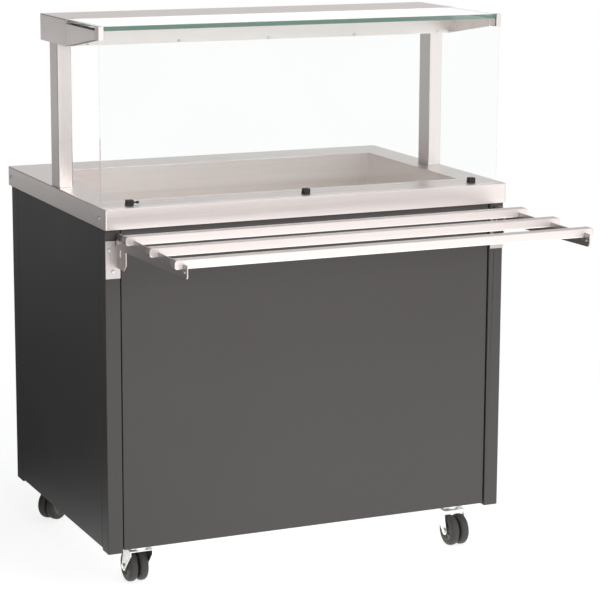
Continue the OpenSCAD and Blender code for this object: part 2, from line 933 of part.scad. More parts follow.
// The right bracket: a wall plate that reaches from the corner post to the arm, and
// a cheek with the pivot's bore and a slot
module bracket() {
    margin = 0.5;
    ear_rise = 24;
    ear_low = bracket_foot + ear_rise;
    ear_bevel = 14;
    ear_cap = 16;
    ear_top = pivot_z + ear_cap;
    ear_tip = cab_front - bracket_reach;
    slot_gap = 8;
    slot_top = pivot_z - pivot_d / 2 - slot_gap;
    slot_low = slot_top - slot_h;
    color(steel)
        difference() {
            union() {
                block([min(leg_x + margin, ear_inner), cab_front - bracket_t, bracket_foot],
                      [max(cab_x - margin, ear_outer), cab_front, bracket_top]);
                plate_x(ear_inner, ear_outer)
                    polygon([[cab_front - bracket_t, ear_low], [ear_tip + ear_bevel, ear_low],
                             [ear_tip, ear_low + ear_bevel], [ear_tip, ear_top - ear_bevel / 2],
                             [ear_tip + ear_bevel / 2, ear_top], [cab_front - bracket_t, ear_top]]);
            }
            bar_x(pivot_d + 2 * run_fit, ear_inner - eps, ear_outer + eps, pivot_y, pivot_z);
            bar_x(slot_w, ear_inner - eps, ear_outer + eps, pivot_y, slot_top - slot_w / 2);
            bar_x(slot_w, ear_inner - eps, ear_outer + eps, pivot_y, slot_low + slot_w / 2);
            block([ear_inner - eps, pivot_y - slot_w / 2, slot_low + slot_w / 2],
                  [ear_outer + eps, pivot_y + slot_w / 2, slot_top - slot_w / 2]);
            for (at = bracket_screws)
                bar_y(screw_d + 2 * hole_slack, cab_front - bracket_t - eps, cab_front + eps, at[0], at[1]);
        }
}

module right_bracket() {
    bracket();
}

module left_bracket() {
    mirror([1, 0, 0])
        bracket();
}

// What a round corner of an arm leaves over: a block less a round bar
module arm_corner(low, high, r, y, z) {
    difference() {
        block([arm_inner - eps, low[0], low[1]], [arm_outer + eps, high[0], high[1]]);
        bar_x(2 * r, arm_inner - 2 * eps, arm_outer + 2 * eps, y, z);
    }
}

// The right arm: a tapered plate, round about its pivot, with seats for the rails
module arm() {
    root_r = arm_root_h / 2;
    tip_r = 8;
    tip_low = arm_top - arm_tip_h;
    taper = (arm_root_h - arm_tip_h) / (pivot_y - arm_tip_y);
    tip_z = tip_low + tip_r * (1 - taper);
    color(steel)
        difference() {
            plate_x(arm_inner, arm_outer)
                polygon([[pivot_y + root_r, arm_top], [pivot_y + root_r, arm_top - arm_root_h],
                         [pivot_y, arm_top - arm_root_h], [arm_tip_y, tip_low], [arm_tip_y, arm_top]]);
            arm_corner([pivot_y, pivot_z - root_r - eps], [pivot_y + root_r + eps, pivot_z + root_r + eps],
                       root_r, pivot_y, pivot_z);
            arm_corner([arm_tip_y - eps, tip_low - eps], [arm_tip_y + tip_r, tip_z],
                       tip_r, arm_tip_y + tip_r, tip_z);
            for (y = rail_ys)
                block([arm_inner - eps, y - rail_d / 2, rail_seat_z],
                      [arm_outer + eps, y + rail_d / 2, arm_top + eps]);
            bar_x(pivot_d + 2 * run_fit, arm_inner - eps, arm_outer + eps, pivot_y, pivot_z);
            bar_x(stud_d, arm_inner - eps, arm_outer + eps, stud_y, stud_z);
        }
}

module right_arm() {
    arm();
}

module left_arm() {
    mirror([1, 0, 0])
        arm();
}

// Pivot bolts, which turn with the arms, and the studs at the arms' tips
module arm_bolts() {
    head_t = 3.5;
    nut_t = 5;
    nut_x = ear_inner - side_fit;
    stud_head_d = 9;
    stud_head_t = 2.5;
    color(zinc)
        for (s = [0, 1])
            mirror([s, 0, 0]) {
                bar_x(pivot_d, nut_x - nut_t, arm_outer, pivot_y, pivot_z);
                bar_x(1.6 * pivot_d, arm_outer, arm_outer + head_t, pivot_y, pivot_z);
                bar_x(1.7 * pivot_d, nut_x - nut_t, nut_x, pivot_y, pivot_z, $fn = 6);
                bar_x(stud_d, arm_inner, arm_outer, stud_y, stud_z);
                bar_x(stud_head_d, arm_outer, arm_outer + stud_head_t, stud_y, stud_z);
                bar_x(stud_head_d, arm_inner - stud_head_t, arm_inner, stud_y, stud_z);
            }
}

// One rail: a rounded tube with a plug in each end
module rail(y) {
    z = rail_seat_z + rail_h / 2;
    half = rail_l / 2;
    color(steel) {
        translate([rail_plug - half, y, z])
            rotate([90, 0, 90])
                linear_extrude(rail_l - 2 * rail_plug)
                    difference() {
                        round_rect(rail_d, rail_h, rail_r);
                        round_rect(rail_d - 2 * rail_wall, rail_h - 2 * rail_wall, rail_r - rail_wall);
                    }
        for (s = [0, 1])
            mirror([s, 0, 0])
                translate([half - rail_plug, y, z])
                    rotate([90, 0, 90])
                        linear_extrude(rail_plug)
                            round_rect(rail_d, rail_h, rail_r);
    }
}

module inner_rail() {
    rail(rail_ys[0]);
}

module middle_rail() {
    rail(rail_ys[1]);
}

module outer_rail() {
    rail(rail_ys[2]);
}

// ---------------------------------------------------------------- castors

castor_x = cab_x - castor_side;
castor_ys = [cab_front + castor_front, cab_back - castor_rear];
axle_z = wheel_d / 2;
race_d = 46;
race_h = 8;
cup_d = 42;
cup_h = 6;
head_low = floor_z - plate_t;
race_z = head_low - race_h;
crown_z = race_z - cup_h;
castor_bolt_d = 8;
bolt_pitch = plate_w - 20;
wheel_side_gap = 1.5;
turn_gap = 0.1;
fork_in = wheel_w + wheel_gap / 2 + wheel_side_gap;
fork_out = fork_in + fork_t;

// Place a castor's piece at its swivel axis, turned to where it trails
module at_castor(x, y, turn) {
    translate([x, y, 0])
        rotate([0, 0, turn])
            children();
}

module at_front_left() {
    at_castor(-castor_x, castor_ys[0], front_left_turn)
        children();
}

module at_front_right() {
    at_castor(castor_x, castor_ys[0], front_right_turn)
        children();
}

module at_rear_left() {
    at_castor(-castor_x, castor_ys[1], rear_left_turn)
        children();
}

module at_rear_right() {
    at_castor(castor_x, castor_ys[1], rear_right_turn)
        children();
}

module each_castor() {
    for (x = [-castor_x, castor_x], y = castor_ys)
        translate([x, y, 0])
            children();
}

module each_castor_bolt() {
    each_castor()
        for (sx = [-1, 1], sy = [-1, 1])
            translate([sx * bolt_pitch / 2, sy * bolt_pitch / 2, 0])
                children();
}

// Top plates with the upper race and the swivel pin
module castor_heads() {
    pin_head_t = 3.5;
    pin_low = crown_z - fork_t - side_fit - pin_head_t;
    color(zinc)
        difference() {
            each_castor() {
                translate([0, 0, head_low])
                    linear_extrude(plate_t)
                        round_rect(plate_w, plate_w, 8);
                translate([0, 0, race_z])
                    cylinder(d = race_d, h = race_h);
                translate([0, 0, pin_low])
                    cylinder(d = king_d, h = race_z - pin_low);
                translate([0, 0, pin_low])
                    cylinder(d = 1.7 * king_d, h = pin_head_t);
            }
            each_castor_bolt()
                translate([0, 0, head_low - eps])
                    cylinder(d = castor_bolt_d + 2 * bolt_slack, h = plate_t + 2 * eps);
        }
}

// Cup-headed bolts through the cabinet floor, with a nut under each top plate
module castor_bolts() {
    head_t = 2.5;
    nut_t = 6;
    thread_end = 1;
    color(zinc)
        each_castor_bolt() {
            translate([0, 0, head_low - nut_t])
                cylinder(d = 1.7 * castor_bolt_d, h = nut_t, $fn = 6);
            translate([0, 0, head_low - nut_t - thread_end])
                cylinder(d = castor_bolt_d, h = thread_end + nut_t + plate_t + floor_t);
            translate([0, 0, deck_z])
                cylinder(d1 = 2 * castor_bolt_d, d2 = castor_bolt_d, h = head_t);
        }
}

// The fork: a crown under the lower race, and a tapered leg each side of the wheels
module fork() {
    crown_back = 21;
    crown_fore = 27;
    fold_back = 12;
    fold_fore = 10;
    leg_r = 11;
    color(zinc)
        difference() {
            union() {
                translate([0, 0, crown_z])
                    cylinder(d = cup_d, h = cup_h - turn_gap);
                block([-fork_out, -crown_fore, crown_z - fork_t], [fork_out, crown_back, crown_z]);
                for (s = [0, 1])
                    mirror([s, 0, 0])
                        plate_x(fork_in, fork_out) {
                            polygon([[crown_back, crown_z], [crown_back, crown_z - fold_back],
                                     [leg_r * 0.8 - trail, axle_z - leg_r * 0.6],
                                     [-leg_r * 0.98 - trail, axle_z + leg_r * 0.2],
                                     [-crown_fore, crown_z - fold_fore], [-crown_fore, crown_z]]);
                            translate([-trail, axle_z])
                                circle(leg_r);
                        }
            }
            translate([0, 0, crown_z - fork_t - eps])
                cylinder(d = king_d + 2 * run_fit, h = race_z - crown_z + fork_t + 2 * eps);
            bar_x(axle_d + 2 * run_fit, -fork_out - eps, fork_out + eps, -trail, axle_z);
        }
}

module axle() {
    cap_t = 3;
    color(zinc) {
        bar_x(axle_d, -fork_out, fork_out, -trail, axle_z);
        for (s = [0, 1])
            mirror([s, 0, 0])
                bar_x(1.7 * axle_d, fork_out, fork_out + cap_t, -trail, axle_z);
    }
}

// One wheel: a tyre on a hub, on the side of the axle that side gives
module wheel(side) {
    mid = side * (wheel_gap + wheel_w) / 2;
    hub_sink = 1.5;
    boss_l = fork_in - 2 * turn_gap;
    ring_w = 4;
    ring_in = 8;
    translate([mid, -trail, axle_z])
        rotate([0, 90 * side, 0]) {
            color(black)
                rotate_extrude()
                    difference() {
                        translate([wheel_d / 4, 0])
                            round_rect(wheel_d / 2, wheel_w, tyre_r);
                        translate([0, -wheel_w])
                            square([hub_d / 2, 2 * wheel_w]);
                    }
            color(graphite)
                rotate_extrude()
                    difference() {
                        union() {
                            translate([0, hub_sink - wheel_w / 2])
                                square([hub_d / 2, wheel_w - 2 * hub_sink]);
                            translate([0, turn_gap - wheel_gap / 2 - wheel_w / 2])
                                square([axle_d, boss_l]);
                        }
                        translate([-eps, -wheel_w])
                            square([axle_d / 2 + run_fit + eps, 2 * wheel_w]);
                        translate([hub_d / 2 - ring_in, wheel_w / 2 - ring_w])
                            square([ring_w, ring_w]);
                    }
        }
}

module front_left_fork() { at_front_left() fork(); }
module front_left_axle() { at_front_left() axle(); }
module front_left_wheel_1() { at_front_left() wheel(-1); }
module front_left_wheel_2() { at_front_left() wheel(1); }
module front_right_fork() { at_front_right() fork(); }
module front_right_axle() { at_front_right() axle(); }
module front_right_wheel_1() { at_front_right() wheel(-1); }
module front_right_wheel_2() { at_front_right() wheel(1); }
module rear_left_fork() { at_rear_left() fork(); }
module rear_left_axle() { at_rear_left() axle(); }
module rear_left_wheel_1() { at_rear_left() wheel(-1); }
module rear_left_wheel_2() { at_rear_left() wheel(1); }
module rear_right_fork() { at_rear_right() fork(); }
module rear_right_axle() { at_rear_right() axle(); }
module rear_right_wheel_1() { at_rear_right() wheel(-1); }
module rear_right_wheel_2() { at_rear_right() wheel(1); }

// ---------------------------------------------------------------- nodes

worktop();
well_tank();
well_heater();
well_jacket();
corner_posts();
left_side_panel();
right_side_panel();
front_panel();
base_tray();
cupboard_shelf();
control_panel();
thermostat();
switch_housing();
power_inlet();
thermostat_knob();
power_switch();
left_door();
right_door();
left_door_handle();
right_door_handle();
door_pins();
left_gantry_post();
right_gantry_post();
gantry_bolts();
gantry_beam();
lamp_tray();
lamp_tube();
left_cheek();
right_cheek();
glass_shelf();
front_glass();
glass_clamps();
glass_clips();
trim_screws();
left_bracket();
right_bracket();
left_arm();
right_arm();
arm_bolts();
inner_rail();
middle_rail();
outer_rail();
castor_heads();
castor_bolts();
front_left_fork();
front_left_axle();
front_left_wheel_1();
front_left_wheel_2();
front_right_fork();
front_right_axle();
front_right_wheel_1();
front_right_wheel_2();
rear_left_fork();
rear_left_axle();
rear_left_wheel_1();
rear_left_wheel_2();
rear_right_fork();
rear_right_axle();
rear_right_wheel_1();
rear_right_wheel_2();
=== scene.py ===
import json
import math

import bmesh
import bpy
from bpy.props import FloatProperty, FloatVectorProperty, IntProperty, PointerProperty
from bpy.types import NodeSocket, Operator, Panel, PropertyGroup
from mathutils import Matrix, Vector


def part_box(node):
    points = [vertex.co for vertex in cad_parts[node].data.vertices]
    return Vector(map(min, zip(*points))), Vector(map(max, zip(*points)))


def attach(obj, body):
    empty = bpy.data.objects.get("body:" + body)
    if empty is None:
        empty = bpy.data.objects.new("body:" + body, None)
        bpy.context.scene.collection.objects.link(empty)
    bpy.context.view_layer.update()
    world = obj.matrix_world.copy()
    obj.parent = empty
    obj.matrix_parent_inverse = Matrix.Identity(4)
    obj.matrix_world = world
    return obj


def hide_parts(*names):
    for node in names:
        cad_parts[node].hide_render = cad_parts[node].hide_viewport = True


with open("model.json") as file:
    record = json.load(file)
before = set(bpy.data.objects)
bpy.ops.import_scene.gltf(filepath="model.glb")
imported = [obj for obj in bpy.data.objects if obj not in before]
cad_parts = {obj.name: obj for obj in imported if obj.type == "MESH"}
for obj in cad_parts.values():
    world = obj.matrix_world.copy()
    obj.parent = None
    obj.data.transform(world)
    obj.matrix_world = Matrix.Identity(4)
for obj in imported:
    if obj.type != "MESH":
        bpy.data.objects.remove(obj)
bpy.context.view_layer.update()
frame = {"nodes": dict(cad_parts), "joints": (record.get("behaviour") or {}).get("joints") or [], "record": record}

bl_info = {
    "name": "Servery Trolley",
    "version": (1, 0, 0),
    "blender": (4, 5, 0),
    "location": "3D View > Sidebar > Trolley",
    "description": "Models and finishes a heated servery trolley around its packed frame",
    "category": "Object",
}

CASTORS = ("front_left", "front_right", "rear_left", "rear_right")
RAILS = ("inner_rail", "middle_rail", "outer_rail")
X, Y, Z = Vector((1, 0, 0)), Vector((0, 1, 0)), Vector((0, 0, 1))

TINY = 1e-4  # slack in a test of place, in metres
WELD = 2e-6  # vertices closer than this are one
STRAIGHT = 0.999  # least part of a straight edge's direction along its axis
FLAT = 0.9  # least part of a flat face's normal along its axis
FOLDED = 0.75  # the same, with the nearer half of the folds round the face
MERGE_ANGLE = math.radians(0.6)  # faces that turn less than this against each other are one
SMOOTH_DEGREES = 32  # shading is smooth over edges that turn less than this
WHEEL_DEGREES = 35
GLASS_DEGREES = 5  # so that the panes' ground edges stay crisp

ALONG, ACROSS, UPRIGHT = 0, 1, 2  # the axis that a brushed grain follows
FAINT, FINE = 0.00003, 0.00004  # depth of a brushed grain's relief, in metres
BAR_SIDES, FOOT_SIDES, PIN_SIDES, WHEEL_SIDES = 48, 32, 20, 72

# Shares of the usual edge rounding or fold radius that smaller pieces have
THIN_PLATE, ROCKER, BOLT = 0.8, 0.6, 0.5
PANEL, DOOR = 0.7, 0.6


# ------------------------------------------------------------ sizes and colours


def length(name, description, default):
    """A size in metres that a user may change."""
    return FloatProperty(name=name, description=description, default=default, min=0.0, unit="LENGTH")


def colour(name, description, default):
    """A linear colour that a user may change."""
    return FloatVectorProperty(
        name=name, description=description, default=default, size=3, min=0.0, max=1.0, subtype="COLOR"
    )


class TrolleySizes(PropertyGroup):
    """Sizes of the details that the frame leaves plain."""

    fold: length("Fold radius", "Outer radius of the folds in the stainless sheet", 0.0025)
    corner: length("Corner radius", "Radius of the worktop's welded corners", 0.006)
    sheet: length("Sheet thickness", "Thickness of the stainless sheet", 0.0015)
    tank_flange: length("Tank flange", "Width of the tank's flange under the worktop", 0.016)
    tank_fillet: length("Tank fillet", "Radius between the tank's walls and floor", 0.012)
    tank_corner: length("Tank corner", "Radius of the tank's welded corners", 0.003)
    post_radius: length("Post radius", "Corner radius of the gantry's tubes", 0.003)
    rail_radius: length("Rail radius", "Radius of the rails' long edges", 0.0024)
    rail_end: length("Rail end radius", "Radius of the upper and lower corners of a rail's ends", 0.007)
    plug_seam: length("Plug seam", "Distance of the plug's joint from the end of a rail", 0.014)
    panel_fold: length("Panel fold", "Radius of the folds in the painted panels", 0.0018)
    plate_edge: length("Plate edge", "Rounding of the edges of cut plates", 0.0006)
    glass_edge: length("Glass edge", "Width of the ground edge of the glass", 0.0008)
    tyre_shoulder: length("Tyre shoulder", "Radius of the tyres' shoulders", 0.0085)
    hub_ribs: IntProperty(name="Hub ribs", description="Number of ribs on a wheel's hub", default=6, min=3)
    clip_screw: length("Clip screw", "Length of the thumb screw beside the left clip", 0.013)
    screw_width: length("Screw head width", "Diameter of a trim screw's head", 0.008)
    screw_head: length("Screw head height", "Height of a trim screw's head", 0.0022)
    screw_shank: length("Screw shank", "Diameter of a trim screw's shank", 0.004)
    drive_blade: length("Drive blade", "Width of the cross recess in a screw", 0.0011)


class TrolleyColours(PropertyGroup):
    """Colours of the finishes."""

    steel: colour("Stainless", "Brushed stainless sheet", (0.80, 0.74, 0.72))
    zinc: colour("Zinc", "Bright zinc plating", (0.62, 0.62, 0.60))
    graphite: colour("Graphite", "Powder coat on the cabinet", (0.112, 0.104, 0.100))
    black: colour("Black", "Moulded black plastic", (0.014, 0.014, 0.015))
    glass: colour("Glass", "Clear toughened glass", (0.965, 0.985, 0.975))
    edge: colour("Glass edge", "Ground edge of the glass", (0.20, 0.36, 0.29))
    tyre: colour("Tyre", "Non-marking rubber", (0.085, 0.078, 0.073))
    hub: colour("Hub", "Moulded wheel hub", (0.20, 0.175, 0.165))
    heater: colour("Heater mat", "Silicone heater mat", (0.26, 0.05, 0.03))
    lamp: colour("Lamp", "Opal glass of the lamp tube", (0.90, 0.89, 0.85))
    mark: colour("Marks", "Printed marks on the controls", (0.80, 0.80, 0.78))


# ------------------------------------------------------------ finishes


def node_tool(tree):
    """A function that adds a node to a tree, with its settings, input values and links."""

    def add(kind, inputs=None, **settings):
        node = tree.nodes.new(kind)
        for key, value in settings.items():
            setattr(node, key, value)
        for socket, value in (inputs or {}).items():
            if isinstance(value, NodeSocket):
                tree.links.new(value, node.inputs[socket])
            else:
                node.inputs[socket].default_value = value
        return node

    return add


def start_finish(name, base, roughness, metallic=0.0):
    """A new material, its shader, a tool that adds nodes and one that feeds the shader."""
    finish = bpy.data.materials.new(name)
    finish.use_nodes = True
    tree = finish.node_tree
    shader = tree.nodes["Principled BSDF"]
    shader.inputs["Base Color"].default_value = (*base, 1)
    shader.inputs["Roughness"].default_value = roughness
    shader.inputs["Metallic"].default_value = metallic

    def feed(socket, source):
        tree.links.new(source, shader.inputs[socket])

    return finish, shader, node_tool(tree), feed


def place_on(add):
    """The place on a piece, which its textures follow."""
    return add("ShaderNodeTexCoord").outputs["Object"]


def noise(add, place, scale, detail, roughness=0.5):
    """Soft noise, mostly between 0.3 and 0.7."""
    inputs = {"Vector": place, "Scale": scale, "Detail": detail, "Roughness": roughness}
    return add("ShaderNodeTexNoise", inputs).outputs["Fac"]


def streaks(add, place, grain, across, lengthways, detail, roughness=0.5):
    """Noise that is drawn out along the grain."""
    stretch = [across] * 3
    stretch[grain] = lengthways
    lines = add("ShaderNodeMapping", {"Vector": place, "Scale": stretch}).outputs["Vector"]
    return noise(add, lines, 1.0, detail, roughness)


def grade(add, source, levels, span=(0.3, 0.7)):
    """Turns a value's span into levels that run from the first to the second."""
    names = ("To Min", "To Max", "From Min", "From Max")
    inputs = {"Value": source, **dict(zip(names, (*levels, *span)))}
    return add("ShaderNodeMapRange", inputs).outputs["Result"]


def combine(add, operation, first, second):
    """Two values in one, such as their sum."""
    return add("ShaderNodeMath", {0: first, 1: second}, operation=operation).outputs["Value"]


def dot(add, source, axis):
    """How far a vector reaches along an axis."""
    return add("ShaderNodeVectorMath", {0: source, 1: axis}, operation="DOT_PRODUCT").outputs["Value"]


def mix(add, share, first, second):
    """A shader that turns from the first into the second by a share."""
    return add("ShaderNodeMixShader", {0: share, 1: first.outputs[0], 2: second.outputs[0]})


def put_out(tree, shader, output="Material Output"):
    """Makes a shader the one that shows."""
    tree.links.new(shader.outputs[0], tree.nodes[output].inputs["Surface"])


def brighter(base, factor):
    """A colour made brighter or darker, up to full brightness."""
    return [min(1.0, part * factor) for part in base]


def tint(add, source, base, low, high):
    """Varies a colour's brightness between two factors."""
    node = add("ShaderNodeMix", data_type="RGBA")
    node.inputs["A"].default_value = (*brighter(base, low), 1)
    node.inputs["B"].default_value = (*brighter(base, high), 1)
    node.id_data.links.new(source, node.inputs["Factor"])
    return node.outputs["Result"]


def relief(add, feed, height, strength, depth):
    """Gives the surface a fine relief."""
    bump = add("ShaderNodeBump", {"Height": height, "Strength": strength, "Distance": depth})
    feed("Normal", bump.outputs["Normal"])


def brushed(name, base, grain, roughness, depth, metallic=1.0):
    """Brushed metal: long fine scratches along one axis, and a faint cloudiness."""
    finish, _, add, feed = start_finish(name, base, roughness, metallic)
    place = place_on(add)
    fine = streaks(add, place, grain, across=900.0, lengthways=5.0, detail=3.0, roughness=0.65)
    coarse = streaks(add, place, grain, across=160.0, lengthways=2.0, detail=2.0)
    cloud = noise(add, place, scale=6.0, detail=3.0)
    grey = grade(add, combine(add, "ADD", fine, coarse), (0.0, 1.0), (0.7, 1.3))
    feed("Base Color", tint(add, grey, base, 0.96, 1.03))
    scratched = grade(add, fine, (-0.03, 0.03))
    clouded = grade(add, cloud, (roughness - 0.015, roughness + 0.015))
    feed("Roughness", combine(add, "ADD", scratched, clouded))
    relief(add, feed, fine, strength=0.12, depth=depth)
    return finish


def grained(name, base, roughness, scale, depth, contrast=0.06, strength=0.4, shine=0.5):
    """Powder coat, moulded plastic or rubber: an even fine texture with slight colour variation."""
    finish, shader, add, feed = start_finish(name, base, roughness)
    shader.inputs["Specular IOR Level"].default_value = shine
    place = place_on(add)
    fine = noise(add, place, scale, detail=2.0)
    cloud = noise(add, place, scale=3.5, detail=3.0)
    blend = combine(add, "ADD", grade(add, fine, (0.0, 0.5)), grade(add, cloud, (0.0, 0.5)))
    feed("Base Color", tint(add, blend, base, 1.0 - contrast, 1.0 + contrast))
    feed("Roughness", grade(add, cloud, (roughness - 0.03, roughness + 0.05)))
    relief(add, feed, fine, strength, depth)
    return finish


def plated(name, base, roughness, metallic=1.0):
    """Zinc plating: faint cells, each a little brighter or duller."""
    finish, _, add, feed = start_finish(name, base, roughness, metallic)
    place = place_on(add)
    cells = add("ShaderNodeTexVoronoi", {"Vector": place, "Scale": 140.0}).outputs["Distance"]
    cloud = noise(add, place, scale=40.0, detail=4.0)
    feed("Base Color", tint(add, grade(add, cells, (0.0, 1.0), (0.0, 0.8)), base, 0.9, 1.08))
    feed("Roughness", grade(add, cloud, (roughness - 0.06, roughness + 0.08)))
    relief(add, feed, cloud, strength=0.15, depth=0.0002)
    return finish


def glazed(name, base, roughness, alpha=1.0, clear=False):
    """A clear pane, very faintly wavy, whose shadow stays light, or its ground edge."""
    finish, shader, add, feed = start_finish(name, base, roughness)
    shader.inputs["IOR"].default_value = 1.46
    shader.inputs["Alpha"].default_value = alpha
    if clear:
        shader.inputs["Transmission Weight"].default_value = 1.0
        path = add("ShaderNodeLightPath").outputs
        light = combine(add, "MAXIMUM", path["Is Shadow Ray"], path["Is Diffuse Ray"])
        through = add("ShaderNodeBsdfTransparent", {"Color": (*base, 1)})
        put_out(finish.node_tree, mix(add, light, shader, through))
    wave = noise(add, place_on(add), scale=5.0, detail=1.0)
    feed("Base Color", tint(add, wave, base, 0.985, 1.01))
    relief(add, feed, wave, strength=0.02, depth=0.0005)
    return finish


FINISHES = {}


def make_finishes(colours):
    """All the finishes, by name, each with the record's slot that it stands for."""
    steel, zinc = colours.steel, colours.zinc
    # Brighter copies of the stainless, painted light: beam for the beam's top faces, tank for the well's tank
    beam, tank = brighter(steel, 1.15), brighter(steel, 1.18)
    made = {
        "steel_x": (brushed("steel_along_counter", steel, ALONG, 0.38, FAINT), "stainless"),
        "steel_y": (brushed("steel_front_to_back", steel, ACROSS, 0.30, FINE), "stainless"),
        # The uprights' stainless is a little darker: painted shade on the tubes, the handles and the clamps
        "steel_z_painted_shade": (brushed("steel_upright_painted_shade", brighter(steel, 0.93), UPRIGHT, 0.34, FINE), "stainless"),
        # Painted light: a brighter stainless for the beam's top faces
        "steel_beam_top_painted_light": (brushed("steel_beam_top_painted_light", beam, ALONG, 0.45, FAINT), "stainless"),
        # Painted shade: a darker stainless for the arms and brackets under the rails
        "arm_steel_painted_shade": (brushed("steel_arms_painted_shade", brighter(steel, 0.65), ACROSS, 0.42, FINE), "stainless"),
        "rail_steel": (brushed("steel_rails", steel, ALONG, 0.52, FAINT), "stainless"),
        # Painted light: a brighter stainless for the well's tank, to lift its shade
        "tank_steel_painted_light": (brushed("steel_tank_painted_light", tank, ALONG, 0.40, FAINT, metallic=0.78), "stainless"),
        "zinc": (plated("zinc_plate", zinc, 0.30), "zinc"),
        "zinc_sheet": (plated("zinc_sheet", zinc, 0.45, metallic=0.6), "zinc"),
        "graphite": (
            grained("graphite_powder_coat", colours.graphite, 0.46, 1400.0, 0.00012, 0.05, shine=0.4),
            "graphite_paint",
        ),
        "black": (grained("black_plastic_moulding", colours.black, 0.42, 900.0, 0.00008, 0.2), "black_plastic"),
        "tyre": (grained("tyre_rubber", colours.tyre, 0.62, 700.0, 0.00015, 0.12), "tyre"),
        "hub": (grained("hub_moulding", colours.hub, 0.48, 600.0, 0.0001, 0.1), "tyre"),
        "heater": (grained("heater_silicone", colours.heater, 0.6, 500.0, 0.0002, 0.1), "heater_mat"),
        "lamp": (grained("lamp_opal", colours.lamp, 0.18, 60.0, 0.00003, 0.02, strength=0.1), "lamp_white"),
        "mark": (grained("printed_mark", colours.mark, 0.5, 900.0, 0.00003, 0.03), "black_plastic"),
        "glass": (glazed("glass_clear", colours.glass, 0.01, clear=True), "clear_glass"),
        "glass_edge": (glazed("glass_ground_edge", colours.edge, 0.25, 0.85), "clear_glass"),
        "screen_edge": (glazed("glass_polished_edge", colours.glass, 0.2, 0.12), "clear_glass"),
    }
    FINISHES.update(made)


# ------------------------------------------------------------ modelling tools


def activate(piece):
    """Makes one piece the only selected one."""
    bpy.ops.object.select_all(action="DESELECT")
    piece.select_set(True)
    bpy.context.view_layer.objects.active = piece


def open_up(piece, select):
    """Goes into a piece's edit mode with everything or nothing selected."""
    activate(piece)
    bpy.ops.object.mode_set(mode="EDIT")
    bpy.ops.mesh.select_all(action=select)


def leave(piece):
    """Goes back to object mode."""
    bpy.ops.object.mode_set(mode="OBJECT")
    return piece


def named(piece, name):
    """Gives a piece and its mesh one name."""
    piece.name = name
    piece.data.name = name
    return piece


def settled(piece):
    """Puts a piece's place into its mesh."""
    activate(piece)
    bpy.ops.object.transform_apply(location=True, rotation=True, scale=True)
    return piece


def start_block(name, low, high):
    """A block between two corners, to be shaped further."""
    low, high = Vector(low), Vector(high)
    bpy.ops.object.select_all(action="DESELECT")
    bpy.ops.mesh.primitive_cube_add(size=1, location=(low + high) / 2, scale=high - low)
    return settled(named(bpy.context.object, name))


def start_disc(name, axis, radius, start, end, sides=BAR_SIDES):
    """A round bar from one point to the other along an axis, to be shaped further."""
    start, end = Vector(start), Vector(end)
    bpy.ops.object.select_all(action="DESELECT")
    bpy.ops.mesh.primitive_cylinder_add(
        vertices=sides,
        radius=radius,
        depth=(end - start).length,
        location=(start + end) / 2,
        rotation=axis.to_track_quat("Z", "Y").to_euler(),
    )
    return settled(named(bpy.context.object, name))


def run(piece, kind, test, operator, **settings):
    """Runs one edit-mode operator on the edges or faces that pass a test."""
    open_up(piece, "DESELECT")
    bpy.ops.mesh.select_mode(type=kind)
    shape = bmesh.from_edit_mesh(piece.data)
    found = [item for item in {"EDGE": shape.edges, "FACE": shape.faces}[kind] if test(item)]
    for item in found:
        item.select_set(True)
    shape.select_flush_mode()
    bmesh.update_edit_mesh(piece.data)
    if not found:
        raise RuntimeError(f"{piece.name}: no {kind.lower()} passes the test")
    operator(**settings)
    return leave(piece)


def along(edge, axis):
    """Whether an edge runs along an axis."""
    way = (edge.verts[1].co - edge.verts[0].co).normalized()
    return abs(way.dot(axis)) > STRAIGHT


def runs(axis):
    """A test for edges that run along an axis."""
    return lambda edge: along(edge, axis)


def looks(axis):
    """A test for faces that look along an axis."""
    return lambda face: face.normal.dot(axis) > FLAT


def middle(edge):
    """The middle of an edge."""
    return (edge.verts[0].co + edge.verts[1].co) / 2


def round_edges(piece, test, radius, segments=4):
    """Rounds the edges that pass a test."""
    return run(
        piece, "EDGE", test, bpy.ops.mesh.bevel,
        offset=radius, offset_type="OFFSET", segments=segments, profile=0.5, affect="EDGES", clamp_overlap=True,
    )


def cut_away(piece, test):
    """Deletes faces."""
    return run(piece, "FACE", test, bpy.ops.mesh.delete, type="FACE")


def inset(piece, test, thickness, depth=0.0):
    """Draws a border inside faces, and raises or sinks what it encloses."""
    return run(piece, "FACE", test, bpy.ops.mesh.inset, thickness=thickness, depth=depth)


def push(piece, test, offset):
    """Extrudes faces by an offset."""
    return run(
        piece, "FACE", test, bpy.ops.mesh.extrude_region_move, TRANSFORM_OT_translate={"value": Vector(offset)}
    )


def modify(piece, kind, **settings):
    """Adds one modifier and applies it."""
    activate(piece)
    modifier = piece.modifiers.new(kind.title(), kind)
    for key, value in settings.items():
        setattr(modifier, key, value)
    bpy.ops.object.modifier_apply(modifier=modifier.name)
    return piece


def soften(piece, width, segments=2, degrees=35):
    """Rounds every sharp edge a little."""
    return modify(
        piece, "BEVEL", width=width, segments=segments, limit_method="ANGLE", angle_limit=math.radians(degrees),
        use_clamp_overlap=False, miter_outer="MITER_ARC",
    )


def carve(piece, cutter):
    """Cuts one piece with another, which is used up."""
    modify(piece, "BOOLEAN", operation="DIFFERENCE", solver="EXACT", object=cutter)
    bpy.data.objects.remove(cutter)
    return piece


def join(name, parts):
    """Joins several pieces into one."""
    bpy.ops.object.select_all(action="DESELECT")
    for part in parts:
        part.select_set(True)
    bpy.context.view_layer.objects.active = parts[0]
    bpy.ops.object.join()
    return named(bpy.context.object, name)


def copy_of(piece, name):
    """A copy with its own mesh."""
    activate(piece)
    bpy.ops.object.duplicate()
    twin = named(bpy.context.object, name)
    for key in list(twin.keys()):
        del twin[key]
    twin.parent = None
    return twin


